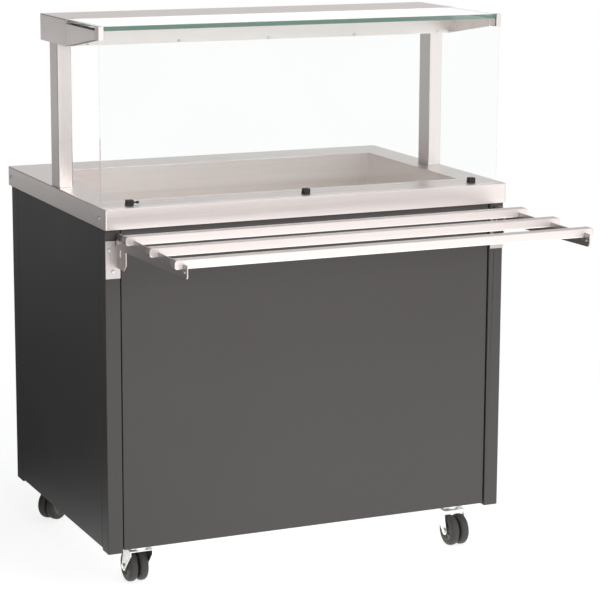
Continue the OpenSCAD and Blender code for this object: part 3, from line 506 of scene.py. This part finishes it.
def moved(piece, offset):
    """Moves a piece and puts its new place into its mesh."""
    piece.location = Vector(offset)
    return settled(piece)


def turned(piece, angle, axis, centre):
    """Turns a piece about an axis through a centre, in its mesh."""
    open_up(piece, "SELECT")
    bpy.ops.transform.rotate(value=-angle, orient_axis=axis, orient_type="GLOBAL", center_override=centre)
    return leave(piece)


def dress(node, name, width, segments=2, merged=True):
    """A copy of a frame node with its sharp edges rounded. Its triangles are merged into flat faces, none of
    them concave, except where that would leave stray faces."""
    piece = copy_of(frame["nodes"][node], name)
    open_up(piece, "SELECT")
    bpy.ops.mesh.remove_doubles(threshold=WELD)
    if merged:
        bpy.ops.mesh.dissolve_limited(angle_limit=MERGE_ANGLE)
        bpy.ops.mesh.vert_connect_concave()
    leave(piece)
    return soften(piece, width, segments)


def paint(piece, finish):
    """One finish all over."""
    piece.data.materials.clear()
    piece.data.materials.append(FINISHES[finish][0])
    return piece


def paint_part(piece, finish, test):
    """Another finish on the faces whose middle and normal pass a test."""
    piece.data.materials.append(FINISHES[finish][0])
    index = len(piece.data.materials) - 1
    for face in piece.data.polygons:
        if test(face.center, face.normal):
            face.material_index = index
    return piece


def shade(piece, degrees=SMOOTH_DEGREES):
    """Smooth shading over gentle edges, with the large faces kept flat."""
    activate(piece)
    bpy.ops.object.shade_smooth_by_angle(angle=math.radians(degrees))
    return modify(piece, "WEIGHTED_NORMAL", keep_sharp=True)


def hand_over(piece, body, finish, nodes=(), degrees=SMOOTH_DEGREES):
    """Finishes a piece: shading, finish, body and the frame nodes it stands for."""
    shade(piece, degrees)
    paint(piece, finish)
    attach(piece, body)
    if nodes:
        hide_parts(*nodes)
    return piece


def body_of(node):
    """The frame body that a node rides on."""
    for body, members in frame["record"]["behaviour"]["bodies"].items():
        if node in members:
            return body
    raise RuntimeError(f"{node} is on no body")


def dress_and_hand_over(node, finish, width, segments=2, merged=True, name=None):
    """Dresses a frame node and finishes it."""
    piece = dress(node, name or node + "_sheet", width, segments, merged)
    return hand_over(piece, body_of(node), finish, [node])


def sizes():
    """The sizes of the scene's trolley."""
    return bpy.context.scene.trolley_sizes


def solids(node):
    """The lowest and highest corner of each separate solid of a node."""
    shape = bmesh.new()
    shape.from_mesh(node.data)
    bmesh.ops.remove_doubles(shape, verts=shape.verts, dist=WELD)
    seen, groups = set(), []
    for start in shape.verts:
        if start in seen:
            continue
        stack, part = [start], []
        seen.add(start)
        while stack:
            vert = stack.pop()
            part.append(vert.co.copy())
            for edge in vert.link_edges:
                other = edge.other_vert(vert)
                if other not in seen:
                    seen.add(other)
                    stack.append(other)
        groups.append([Vector([pick(p[i] for p in part) for i in range(3)]) for pick in (min, max)])
    shape.free()
    return groups


# ------------------------------------------------------------ pieces


class TROLLEY_OT_worktop(Operator):
    """Folds the stainless worktop, with rounded folds and the well's opening"""

    bl_idname = "trolley.worktop"
    bl_label = "Worktop"

    def execute(self, context):
        size = sizes()
        low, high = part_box("worktop")
        tank_low, tank_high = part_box("well_tank")
        top = start_block("worktop_top", low, high)
        round_edges(top, runs(Z), size.corner, segments=6)
        round_edges(top, lambda e: not along(e, Z) and middle(e).z > high.z - TINY, size.fold)
        cut_away(top, looks(-Z))
        modify(top, "SOLIDIFY", thickness=size.sheet, offset=-1)
        flange = size.tank_flange
        opening = start_block(
            "opening",
            (tank_low.x + flange, tank_low.y + flange, low.z),
            (tank_high.x - flange, tank_high.y - flange, high.z + flange),
        )
        round_edges(opening, runs(Z), size.tank_corner)
        carve(top, opening)
        soften(top, size.plate_edge, degrees=50)
        hand_over(top, "cabinet", "steel_x", ["worktop"])
        paint_part(top, "steel_y", lambda c, n: abs(n.x) > FOLDED)
        return {"FINISHED"}


class TROLLEY_OT_well(Operator):
    """Presses the open tank of the well, with its flange, and finishes the parts below it"""

    bl_idname = "trolley.well"
    bl_label = "Well"

    def execute(self, context):
        size = sizes()
        low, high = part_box("well_tank")
        flange, sheet = size.tank_flange, size.sheet
        inner_low = Vector((low.x + flange, low.y + flange, low.z + sheet))
        inner_high = Vector((high.x - flange, high.y - flange, high.z))
        tank = start_block("well_basin", inner_low, inner_high)
        cut_away(tank, looks(Z))
        round_edges(tank, runs(Z), size.tank_corner)
        foot = inner_low.z + TINY
        round_edges(tank, lambda e: not along(e, Z) and middle(e).z < foot, size.tank_fillet, segments=6)
        modify(tank, "SOLIDIFY", thickness=sheet, offset=1)
        rim = start_block("well_flange", (low.x, low.y, high.z - sheet), high)
        hole_low, hole_high = inner_low - sheet * X - sheet * Y, inner_high + sheet * (X + Y + Z)
        hole = start_block("flange_opening", hole_low, hole_high)
        round_edges(hole, runs(Z), size.tank_corner)
        carve(rim, hole)
        # The tank takes a brighter copy of the stainless: painted light in the well
        hand_over(join("well_basin", [tank, rim]), "cabinet", "tank_steel_painted_light", ["well_tank"])
        dress_and_hand_over("well_jacket", "zinc", size.plate_edge)
        dress_and_hand_over("well_heater", "heater", size.plate_edge)
        return {"FINISHED"}


class TROLLEY_OT_cabinet(Operator):
    """Rounds the folds of the cabinet's posts, panels, floor, shelf and doors"""

    bl_idname = "trolley.cabinet"
    bl_label = "Cabinet"

    def execute(self, context):
        fold, edge = sizes().panel_fold, sizes().plate_edge
        dress_and_hand_over("corner_posts", "graphite", fold, segments=3)
        for node in ("left_side_panel", "right_side_panel", "front_panel"):
            dress_and_hand_over(node, "graphite", fold * PANEL, segments=3)
        for node in ("left_door", "right_door"):
            dress_and_hand_over(node, "graphite", fold * DOOR)
        for node in ("base_tray", "cupboard_shelf"):
            dress_and_hand_over(node, "zinc_sheet", edge, merged=False)
        dress_and_hand_over("control_panel", "steel_x", edge, merged=False)
        return {"FINISHED"}


class TROLLEY_OT_door_handles(Operator):
    """Turns the bar handles of the doors, with their feet and collars"""

    bl_idname = "trolley.door_handles"
    bl_label = "Door Handles"

    def execute(self, context):
        for side in ("left", "right"):
            node = side + "_door_handle"
            low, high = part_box(node)
            bar_r = (high.x - low.x) / 2
            foot_r, collar_r, collar_t = bar_r * 0.8, bar_r * 1.4, bar_r * 0.45
            end_rounding, collar_rounding = bar_r * 0.45, bar_r * 0.2
            x, y = (low.x + high.x) / 2, high.y - bar_r
            bottom, top, front = low.z + TINY, high.z - TINY, low.y + collar_t - TINY
            bar = start_disc(node + "_bar", Z, bar_r, (x, y, low.z), (x, y, high.z))
            round_edges(bar, lambda e: not along(e, Z) and not bottom < middle(e).z < top, end_rounding)
            parts = [bar]
            for z in (low.z + 2 * bar_r, high.z - 2 * bar_r):
                foot = start_disc("foot", Y, foot_r, (x, low.y, z), (x, y, z), FOOT_SIDES)
                collar = start_disc("collar", Y, collar_r, (x, low.y, z), (x, low.y + collar_t, z), FOOT_SIDES)
                round_edges(collar, lambda e: middle(e).y > front and not along(e, Y), collar_rounding, 3)
                parts += [foot, collar]
            # The handles take a darker copy of the stainless: painted shade
            hand_over(join(node + "_bar", parts), body_of(node), "steel_z_painted_shade", [node])
        return {"FINISHED"}


class TROLLEY_OT_controls(Operator):
    """Moulds the knob with its pointer and dial, the rocker switch and the mains inlet"""

    bl_idname = "trolley.controls"
    bl_label = "Controls"

    def execute(self, context):
        edge = sizes().plate_edge
        dress_and_hand_over("thermostat", "zinc", edge)
        dress_and_hand_over("switch_housing", "black", edge)
        dress_and_hand_over("thermostat_knob", "black", edge, merged=False, name="thermostat_knob_cap")
        low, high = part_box("thermostat_knob")
        centre = Vector(((low.x + high.x) / 2, high.y, (low.z + high.z) / 2))
        reach = (high.x - low.x) / 2
        self.print_pointer(centre, reach)
        self.print_dial(centre, reach)
        dress_and_hand_over("power_switch", "black", edge * ROCKER, name="power_switch_rocker")
        inlet = dress_and_hand_over("power_inlet", "black", edge * THIN_PLATE, name="power_inlet_socket")
        self.plate_contacts(inlet)
        return {"FINISHED"}

    def print_pointer(self, centre, reach):
        """The bar on the knob's face that shows its setting."""
        half_width, back, face, rounding = 0.0006, -0.0016, -0.0009, 0.0005
        inner, outer = reach * 0.30, reach * 0.78
        pointer = start_block(
            "knob_pointer",
            centre + Vector((-half_width, back, inner)),
            centre + Vector((half_width, face, outer)),
        )
        round_edges(pointer, runs(Y), rounding, segments=3)
        hand_over(pointer, body_of("thermostat_knob"), "mark")

    def print_dial(self, centre, reach):
        """Ticks round the knob, from its rest at the top to its highest heat."""
        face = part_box("control_panel")[1].y
        steps, turn = 10, math.radians(300)
        inner, long_end, short_end = reach + 0.0025, reach + 0.0065, reach + 0.0045
        half_width, thickness, rounding = 0.0004, 0.0002, 0.0002
        ticks = []
        for step in range(steps + 1):
            outer = long_end if step % 2 == 0 else short_end
            low, high = Vector((-half_width, 0, inner)), Vector((half_width, thickness, outer))
            tick = moved(start_block("tick", centre + low, centre + high), (0, face - centre.y, 0))
            ticks.append(turned(tick, -turn * step / steps, "Y", centre))
        dial = join("thermostat_dial", ticks)
        round_edges(dial, runs(Y), rounding, segments=2)
        hand_over(dial, "cabinet", "mark")

    def plate_contacts(self, inlet):
        """Zinc on the contacts in the inlet's mouth."""
        low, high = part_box("power_inlet")
        mid = (low + high) / 2
        half_width, half_height, behind, before = 0.0105, 0.008, 0.0036, 0.006

        def on_contact(c, n):
            within = abs(c.x - mid.x) < half_width and abs(c.z - mid.z) < half_height
            return within and low.y + behind < c.y < high.y - before

        paint_part(inlet, "zinc", on_contact)


class TROLLEY_OT_gantry(Operator):
    """Builds the gantry's tubes, the folded beam, the lamp tray, the cheeks and the clamps"""

    bl_idname = "trolley.gantry"
    bl_label = "Gantry"

    def execute(self, context):
        size = sizes()
        for side in ("left", "right"):
            self.make_post(side + "_gantry_post", size)
        low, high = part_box("gantry_beam")
        beam = start_block("gantry_beam_cover", low, high)
        round_edges(beam, lambda e: middle(e).z > low.z + TINY, size.fold)
        cut_away(beam, looks(-Z))
        modify(beam, "SOLIDIFY", thickness=size.sheet, offset=-1)
        hand_over(beam, "cabinet", "steel_x", ["gantry_beam"])
        paint_part(beam, "steel_y", lambda c, n: abs(n.x) > FOLDED)
        # The beam's top faces take a brighter copy of the stainless: painted light
        paint_part(beam, "steel_beam_top_painted_light", lambda c, n: n.z > FOLDED)

        dress_and_hand_over("lamp_tray", "steel_x", size.plate_edge)
        for side in ("left", "right"):
            dress_and_hand_over(side + "_cheek", "steel_y", size.plate_edge)
        # The clamps take a darker copy of the stainless: painted shade
        dress_and_hand_over("glass_clamps", "steel_z_painted_shade", size.plate_edge)
        return {"FINISHED"}

    def make_post(self, node, size):
        """An upright tube whose upper end is open."""
        low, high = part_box(node)
        mid = (low + high) / 2
        wall, depth, foot_rounding = 0.002, 0.03, 0.0008
        post = start_block(node + "_tube", low, high)
        round_edges(post, runs(Z), size.post_radius, segments=5)
        inset(post, looks(Z), wall)
        push(post, lambda f: f.normal.z > FLAT and self.in_middle(f, mid), (0, 0, -depth))
        round_edges(post, lambda e: not along(e, Z) and middle(e).z < low.z + TINY, foot_rounding, segments=2)
        # The tube takes a darker copy of the stainless: painted shade
        hand_over(post, "cabinet", "steel_z_painted_shade", [node])

    def in_middle(self, face, mid):
        """Whether a level face lies about the tube's middle, as the rim round it doesn't."""
        return (face.calc_center_median().xy - mid.xy).length < 10 * TINY


class TROLLEY_OT_lamp(Operator):
    """Fits the lamp tube with its metal caps and its holders"""

    bl_idname = "trolley.lamp"
    bl_label = "Lamp"

    def execute(self, context):
        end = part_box("lamp_tube")[1].x
        cap, holder = end - 0.03, end - 0.0145
        lamp = dress_and_hand_over("lamp_tube", "lamp", sizes().plate_edge, name="lamp_tube_glass")
        paint_part(lamp, "zinc", lambda c, n: cap < abs(c.x) < holder)
        paint_part(lamp, "black", lambda c, n: abs(c.x) > holder)
        return {"FINISHED"}


class TROLLEY_OT_glass(Operator):
    """Grinds the edges of the glass shelf and the front glass, and moulds the clips with a thumb screw"""

    bl_idname = "trolley.glass"
    bl_label = "Glass"

    def execute(self, context):
        size = sizes()
        shelf = dress("glass_shelf", "glass_shelf_pane", size.glass_edge, segments=1)
        hand_over(shelf, "cabinet", "glass", ["glass_shelf"], degrees=GLASS_DEGREES)
        paint_part(shelf, "screen_edge", lambda c, n: abs(n.z) < FLAT)
        paint_part(shelf, "glass_edge", lambda c, n: n.y < -0.5)
        screen = dress("front_glass", "front_glass_pane", size.glass_edge, segments=1)
        hand_over(screen, "cabinet", "glass", ["front_glass"], degrees=GLASS_DEGREES)
        paint_part(screen, "screen_edge", lambda c, n: abs(n.y) < FLAT)
        clips = dress("glass_clips", "glass_clips_blocks", size.plate_edge)
        parts = [clips, *self.make_thumb_screw(size.clip_screw)]
        hand_over(join("glass_clips_blocks", parts), "cabinet", "black", ["glass_clips"])
        return {"FINISHED"}

    def make_thumb_screw(self, reach):
        """A stem and a grip that stand out of the left clip."""
        low, high = min(solids(frame["nodes"]["glass_clips"]), key=lambda ends: ends[0].x)
        grip_r = (high.z - low.z) / 4
        stem_r, rounding = grip_r * 0.6, grip_r * 0.3
        y, z = low.y + grip_r * 1.2, (low.z + high.z) / 2
        stem_end, grip_start, grip_end = high.x + reach * 0.6, high.x + reach * 0.5, high.x + reach
        stem = start_disc("clip_stem", X, stem_r, (high.x - TINY, y, z), (stem_end, y, z), PIN_SIDES)
        grip = start_disc("clip_grip", X, grip_r, (grip_start, y, z), (grip_end, y, z), PIN_SIDES)
        round_edges(grip, lambda e: not along(e, X), rounding, segments=2)
        return stem, grip


class TROLLEY_OT_tray_slide(Operator):
    """Draws the three rounded rails, and finishes the arms and brackets that carry them"""

    bl_idname = "trolley.tray_slide"
    bl_label = "Tray Slide"

    def execute(self, context):
        size = sizes()
        low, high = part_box(RAILS[0])
        front, back = low.y + TINY, high.y - TINY
        rail = start_block("rail_tube", low, high)
        round_edges(rail, runs(Y), size.rail_end, segments=8)
        round_edges(rail, lambda e: not front < middle(e).y < back, size.rail_radius, segments=5)
        self.score_joints(rail, high.x - size.plug_seam, (low + high) / 2)
        for node in RAILS:
            twin = moved(copy_of(rail, node + "_tube"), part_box(node)[0] - low)
            hand_over(twin, body_of(node), "rail_steel", [node])
        bpy.data.objects.remove(rail)
        for node in ("left_arm", "left_bracket", "right_arm", "right_bracket"):
            # The arms and brackets take a darker copy of the stainless: painted shade
            dress_and_hand_over(node, "arm_steel_painted_shade", size.plate_edge * THIN_PLATE)
        return {"FINISHED"}

    def score_joints(self, rail, seam, centre):
        """A fine groove round the rail at the joint of each end plug."""
        width, narrowed = 0.0005, 0.975
        for side in (-1, 1):
            for gap in (0, width):
                open_up(rail, "SELECT")
                bpy.ops.mesh.bisect(plane_co=(side * (seam + gap), 0, 0), plane_no=(1, 0, 0))
                leave(rail)
        run(
            rail, "FACE", lambda f: seam - TINY < abs(f.calc_center_median().x) < seam + width + TINY,
            bpy.ops.transform.resize, value=(1, narrowed, narrowed), center_override=centre,
        )


class TROLLEY_OT_fasteners(Operator):
    """Makes the round-headed screws with cross recesses, and finishes the bolts and pins"""

    bl_idname = "trolley.fasteners"
    bl_label = "Fasteners"

    def execute(self, context):
        size = sizes()
        for node in ("gantry_bolts", "door_pins", "castor_bolts", "arm_bolts"):
            dress_and_hand_over(node, "zinc", size.plate_edge * BOLT)
        head = self.make_head(size)
        parts = []
        for low, high in solids(frame["nodes"]["trim_screws"]):
            mid = (low + high) / 2
            way = self.facing(low, high)
            reach = way * abs((high - low).dot(way)) / 2
            outer, inner = mid + reach, mid - reach
            seat = outer - way * size.screw_head
            parts.append(start_disc("shank", way, size.screw_shank / 2, inner, seat + way * TINY, PIN_SIDES))
            twin = copy_of(head, "head")
            twin.rotation_euler = way.to_track_quat("Z", "Y").to_euler()
            parts.append(moved(twin, seat))
        bpy.data.objects.remove(head)
        hand_over(join("trim_screw_heads", parts), "cabinet", "zinc", ["trim_screws"])
        return {"FINISHED"}

    def facing(self, low, high):
        """The way a screw's head faces: outwards on the worktop's sides, forwards elsewhere."""
        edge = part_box("worktop")[1].x
        if high.x > edge + TINY:
            return X
        return -X if low.x < -edge - TINY else -Y

    def make_head(self, size):
        """A domed head on the floor of its own space, with a cross recess on top."""
        radius, height = size.screw_width / 2, size.screw_head
        dome, recess_floor, over = height * 0.7, height * 0.45, height * 1.5
        head = start_disc("screw_head", Z, radius, (0, 0, 0), (0, 0, height), FOOT_SIDES)
        round_edges(head, lambda e: middle(e).z > height - TINY and not along(e, Z), dome, segments=5)
        reach, half = radius * 0.52, size.drive_blade / 2
        for x, y in ((reach, half), (half, reach)):
            carve(head, start_block("blade", (-x, -y, recess_floor), (x, y, over)))
        return head


class TROLLEY_OT_castors(Operator):
    """Moulds the crowned twin wheels with ribbed hubs, and finishes the forks, axles and plates"""

    bl_idname = "trolley.castors"
    bl_label = "Castors"

    def execute(self, context):
        size = sizes()
        joints = {joint["name"]: joint for joint in frame["joints"]}
        dress_and_hand_over("castor_heads", "zinc", size.plate_edge)
        wheel = self.make_wheel(size)
        for corner in CASTORS:
            for kind in ("_fork", "_axle"):
                dress_and_hand_over(corner + kind, "zinc", size.plate_edge * THIN_PLATE, merged=False)
            for number in (1, 2):
                node = f"{corner}_wheel_{number}"
                axle = Vector(joints[f"{corner}_roll_{number}"]["axis"]).normalized()
                twin = copy_of(wheel, node + "_tyre")
                turn = math.atan2(axle.y, axle.x) + (0 if number == 2 else math.pi)
                twin.rotation_euler = (0, 0, turn)
                moved(twin, self.wheel_middle(node))
                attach(twin, body_of(node))
                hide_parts(node)
        bpy.data.objects.remove(wheel)
        return {"FINISHED"}

    def wheel_middle(self, node):
        """The middle of a wheel: halfway up its box, and under the crown of its tyre."""
        body = frame["nodes"][node].data.vertices
        crown_depth = 0.0004
        top = max(vert.co.z for vert in body)
        crown = [vert.co for vert in body if vert.co.z > top - crown_depth]
        low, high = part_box(node)
        mid = sum(crown, Vector()) / len(crown)
        return Vector((mid.x, mid.y, (low.z + high.z) / 2))

    def make_wheel(self, size):
        """One wheel about the origin, its outer face towards +X."""
        low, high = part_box("front_left_wheel_1")
        radius, half, hub = (high.z - low.z) / 2, 0.011, 0.025
        tyre = start_disc("wheel_shape", X, radius, (-half, 0, 0), (half, 0, 0), WHEEL_SIDES)
        rim = half - TINY
        round_edges(tyre, lambda e: abs(middle(e).x) > rim and not along(e, X), size.tyre_shoulder, segments=7)
        # Border and depth, inwards from the tyre's flat side: a step down, a ledge, a step down to the hub's
        # floor, the floor, a step up to the axle's boss and a border on the boss
        steps = (
            (radius - size.tyre_shoulder - hub, 0.0),
            (0.0012, -0.0012),
            (0.0022, 0.0),
            (0.0012, -0.0022),
            (0.0085, 0.0),
            (0.0014, 0.0018),
            (0.0042, 0.0),
        )
        for side in (X, -X):
            for border, depth in steps:
                inset(tyre, lambda f: looks(side)(f) and self.on_axle(f), border, depth)
        wheel = join("wheel_shape", [tyre, *self.make_ribs(half, size.hub_ribs)])
        paint(wheel, "tyre")
        paint_part(wheel, "hub", lambda c, n: c.yz.length < hub - TINY and abs(c.x) > half * 0.5)
        return shade(wheel, WHEEL_DEGREES)

    def on_axle(self, face):
        """Whether a face lies about the axle, as the borders round it don't."""
        return face.calc_center_median().yz.length < 10 * TINY

    def make_ribs(self, face, count):
        """The ribs on the hub's floor, a little below the wheel's outer face."""
        half_width, inner, outer = 0.0011, 0.0095, 0.0212
        back, front, rounding = face - 0.0038, face - 0.0014, 0.0006
        for number in range(count):
            rib = start_block("rib", (back, -half_width, inner), (front, half_width, outer))
            round_edges(rib, lambda e: middle(e).x > front - TINY, rounding, segments=2)
            yield turned(rib, math.tau * number / count, "X", (0, 0, 0))


# ------------------------------------------------------------ stage


class TROLLEY_OT_stage(Operator):
    """Lays the pale floor and sets the soft lamps, the surroundings and the camera"""

    bl_idname = "trolley.stage"
    bl_label = "Stage"

    def execute(self, context):
        self.lay_floor()
        self.set_world()
        self.set_lamp("key_lamp", (0.6, -4.9, 3.5), (0, 0, 0.6), size=4.2, power=145.0)
        self.set_lamp("top_lamp", (0.5, -0.4, 4.2), (0.3, 0, 0.8), size=2.2, power=32.0)
        self.set_camera()
        context.scene.view_settings.view_transform = "Standard"
        return {"FINISHED"}

    def lay_floor(self):
        """A pale floor that turns white at a distance, with its own brightness where metal mirrors it."""
        bpy.ops.object.select_all(action="DESELECT")
        bpy.ops.mesh.primitive_plane_add(size=40.0, location=(0, 0, 0))
        floor = settled(named(bpy.context.object, "studio_floor"))
        finish, shader, add, _ = start_finish("pale_floor", (0.5, 0.5, 0.5), 0.8)
        shader.inputs["Specular IOR Level"].default_value = 0.1
        path = add("ShaderNodeLightPath").outputs
        seen = combine(add, "MAXIMUM", path["Is Camera Ray"], path["Is Transmission Ray"])
        mirrored = combine(add, "GREATER_THAN", path["Is Glossy Ray"], path["Is Transmission Ray"])
        place = place_on(add)
        away = add("ShaderNodeVectorMath", {0: place}, operation="LENGTH").outputs["Value"]
        across = add("ShaderNodeSeparateXYZ", {0: place}).outputs["X"]

        # Near the trolley the floor takes its shadow, and further off it is plain white
        lift = add("ShaderNodeEmission", {"Strength": combine(add, "MULTIPLY", seen, 0.8)})
        near = add("ShaderNodeAddShader", {0: shader.outputs[0], 1: lift.outputs[0]})
        white = add("ShaderNodeEmission")
        far = grade(add, away, (0.0, 1.0), (0.9, 2.2))
        shown = mix(add, combine(add, "MULTIPLY", seen, far), near, white)

        # What metal and paint mirror: dark to the left and the back, bright to the right and the front
        dark = grade(add, away, (0.03, 0.75), (3.0, 9.0))
        bright = grade(add, across, (2.1, 1.1), (0.9, 2.1))
        glow = grade(add, dot(add, place, (1, -0.6, 0)), (dark, bright), (-1.2, -0.2))
        mirror = add("ShaderNodeEmission", {"Strength": glow})
        put_out(finish.node_tree, mix(add, mirrored, shown, mirror))
        floor.data.materials.append(finish)

    def set_world(self):
        """White where it is seen, dim where it lights, and graded where metal and paint mirror it."""
        world = bpy.data.worlds.new("studio")
        bpy.context.scene.world = world
        world.use_nodes = True
        tree = world.node_tree
        add = node_tool(tree)
        light = tree.nodes["Background"]
        light.inputs["Color"].default_value = (0.93, 0.97, 1.0, 1)
        light.inputs["Strength"].default_value = 0.22
        white = add("ShaderNodeBackground", {"Color": (1, 1, 1, 1), "Strength": 1.0})
        path = add("ShaderNodeLightPath").outputs
        seen = combine(add, "MAXIMUM", path["Is Camera Ray"], path["Is Transmission Ray"])
        way = add("ShaderNodeTexCoord").outputs["Generated"]
        split = add("ShaderNodeSeparateXYZ", {0: way}).outputs
        bright = grade(add, split["Z"], (1.6, 0.88), (0.08, 0.17))
        glow = grade(add, split["X"], (0.22, bright), (-0.15, 0.15))
        soft_box = Vector((0.1, -0.85, 0.5)).normalized()
        shine = grade(add, dot(add, way, soft_box), (0.0, 1.0), (0.72, 0.97))
        gloss = add("ShaderNodeBackground", {"Strength": combine(add, "ADD", glow, shine)})
        unseen = mix(add, path["Is Glossy Ray"], light, gloss)
        put_out(tree, mix(add, seen, unseen, white), "World Output")

    def set_lamp(self, name, place, target, size, power):
        """A square lamp that lights but isn't mirrored."""
        bpy.ops.object.select_all(action="DESELECT")
        bpy.ops.object.light_add(type="AREA", location=place)
        lamp = bpy.context.object
        lamp.name = name
        lamp.data.size = size
        lamp.data.energy = power
        lamp.visible_glossy = False
        lamp.rotation_euler = (Vector(target) - Vector(place)).to_track_quat("-Z", "Y").to_euler()

    def set_camera(self):
        """The camera in front of the trolley's left corner, pitched down and a little rolled."""
        yaw, pitch, roll = (math.radians(angle) for angle in (24.26, 10.84, 0.25))
        bpy.ops.object.camera_add(location=(-2.12113, -4.78086, 1.71626))
        camera = bpy.context.object
        camera.name = "studio_camera"
        forward = Vector((math.sin(yaw) * math.cos(pitch), math.cos(yaw) * math.cos(pitch), -math.sin(pitch)))
        right = Vector((math.cos(yaw), -math.sin(yaw), 0))
        up = right.cross(forward)
        side = right * math.cos(roll) + up * math.sin(roll)
        top = up * math.cos(roll) - right * math.sin(roll)
        turn = camera.matrix_world.to_3x3()
        turn.col[0], turn.col[1], turn.col[2] = side, top, -forward
        camera.rotation_euler = turn.to_euler()
        camera.data.sensor_width = 36.0
        camera.data.lens = 134.67
        camera.data.shift_y = -0.06
        bpy.context.scene.camera = camera


class TROLLEY_PT_panel(Panel):
    """Lists the steps that build the trolley, and its sizes and colours"""

    bl_label = "Servery Trolley"
    bl_idname = "TROLLEY_PT_panel"
    bl_space_type = "VIEW_3D"
    bl_region_type = "UI"
    bl_category = "Trolley"

    def draw(self, context):
        for step in STEPS:
            self.layout.operator(step.bl_idname)
        for group in (context.scene.trolley_sizes, context.scene.trolley_colours):
            for name in group.__annotations__:
                self.layout.prop(group, name)


STEPS = (
    TROLLEY_OT_worktop,
    TROLLEY_OT_well,
    TROLLEY_OT_cabinet,
    TROLLEY_OT_door_handles,
    TROLLEY_OT_controls,
    TROLLEY_OT_gantry,
    TROLLEY_OT_lamp,
    TROLLEY_OT_glass,
    TROLLEY_OT_tray_slide,
    TROLLEY_OT_fasteners,
    TROLLEY_OT_castors,
    TROLLEY_OT_stage,
)
CLASSES = (TrolleySizes, TrolleyColours, *STEPS, TROLLEY_PT_panel)


def register():
    for cls in CLASSES:
        bpy.utils.register_class(cls)
    bpy.types.Scene.trolley_sizes = PointerProperty(type=TrolleySizes)
    bpy.types.Scene.trolley_colours = PointerProperty(type=TrolleyColours)


def unregister():
    del bpy.types.Scene.trolley_colours
    del bpy.types.Scene.trolley_sizes
    for cls in reversed(CLASSES):
        bpy.utils.unregister_class(cls)


def main():
    register()
    make_finishes(bpy.context.scene.trolley_colours)
    for step in STEPS:
        group, name = step.bl_idname.split(".")
        getattr(getattr(bpy.ops, group), name)()
    bpy.ops.object.select_all(action="DESELECT")


if __name__ == "__main__":
    main()
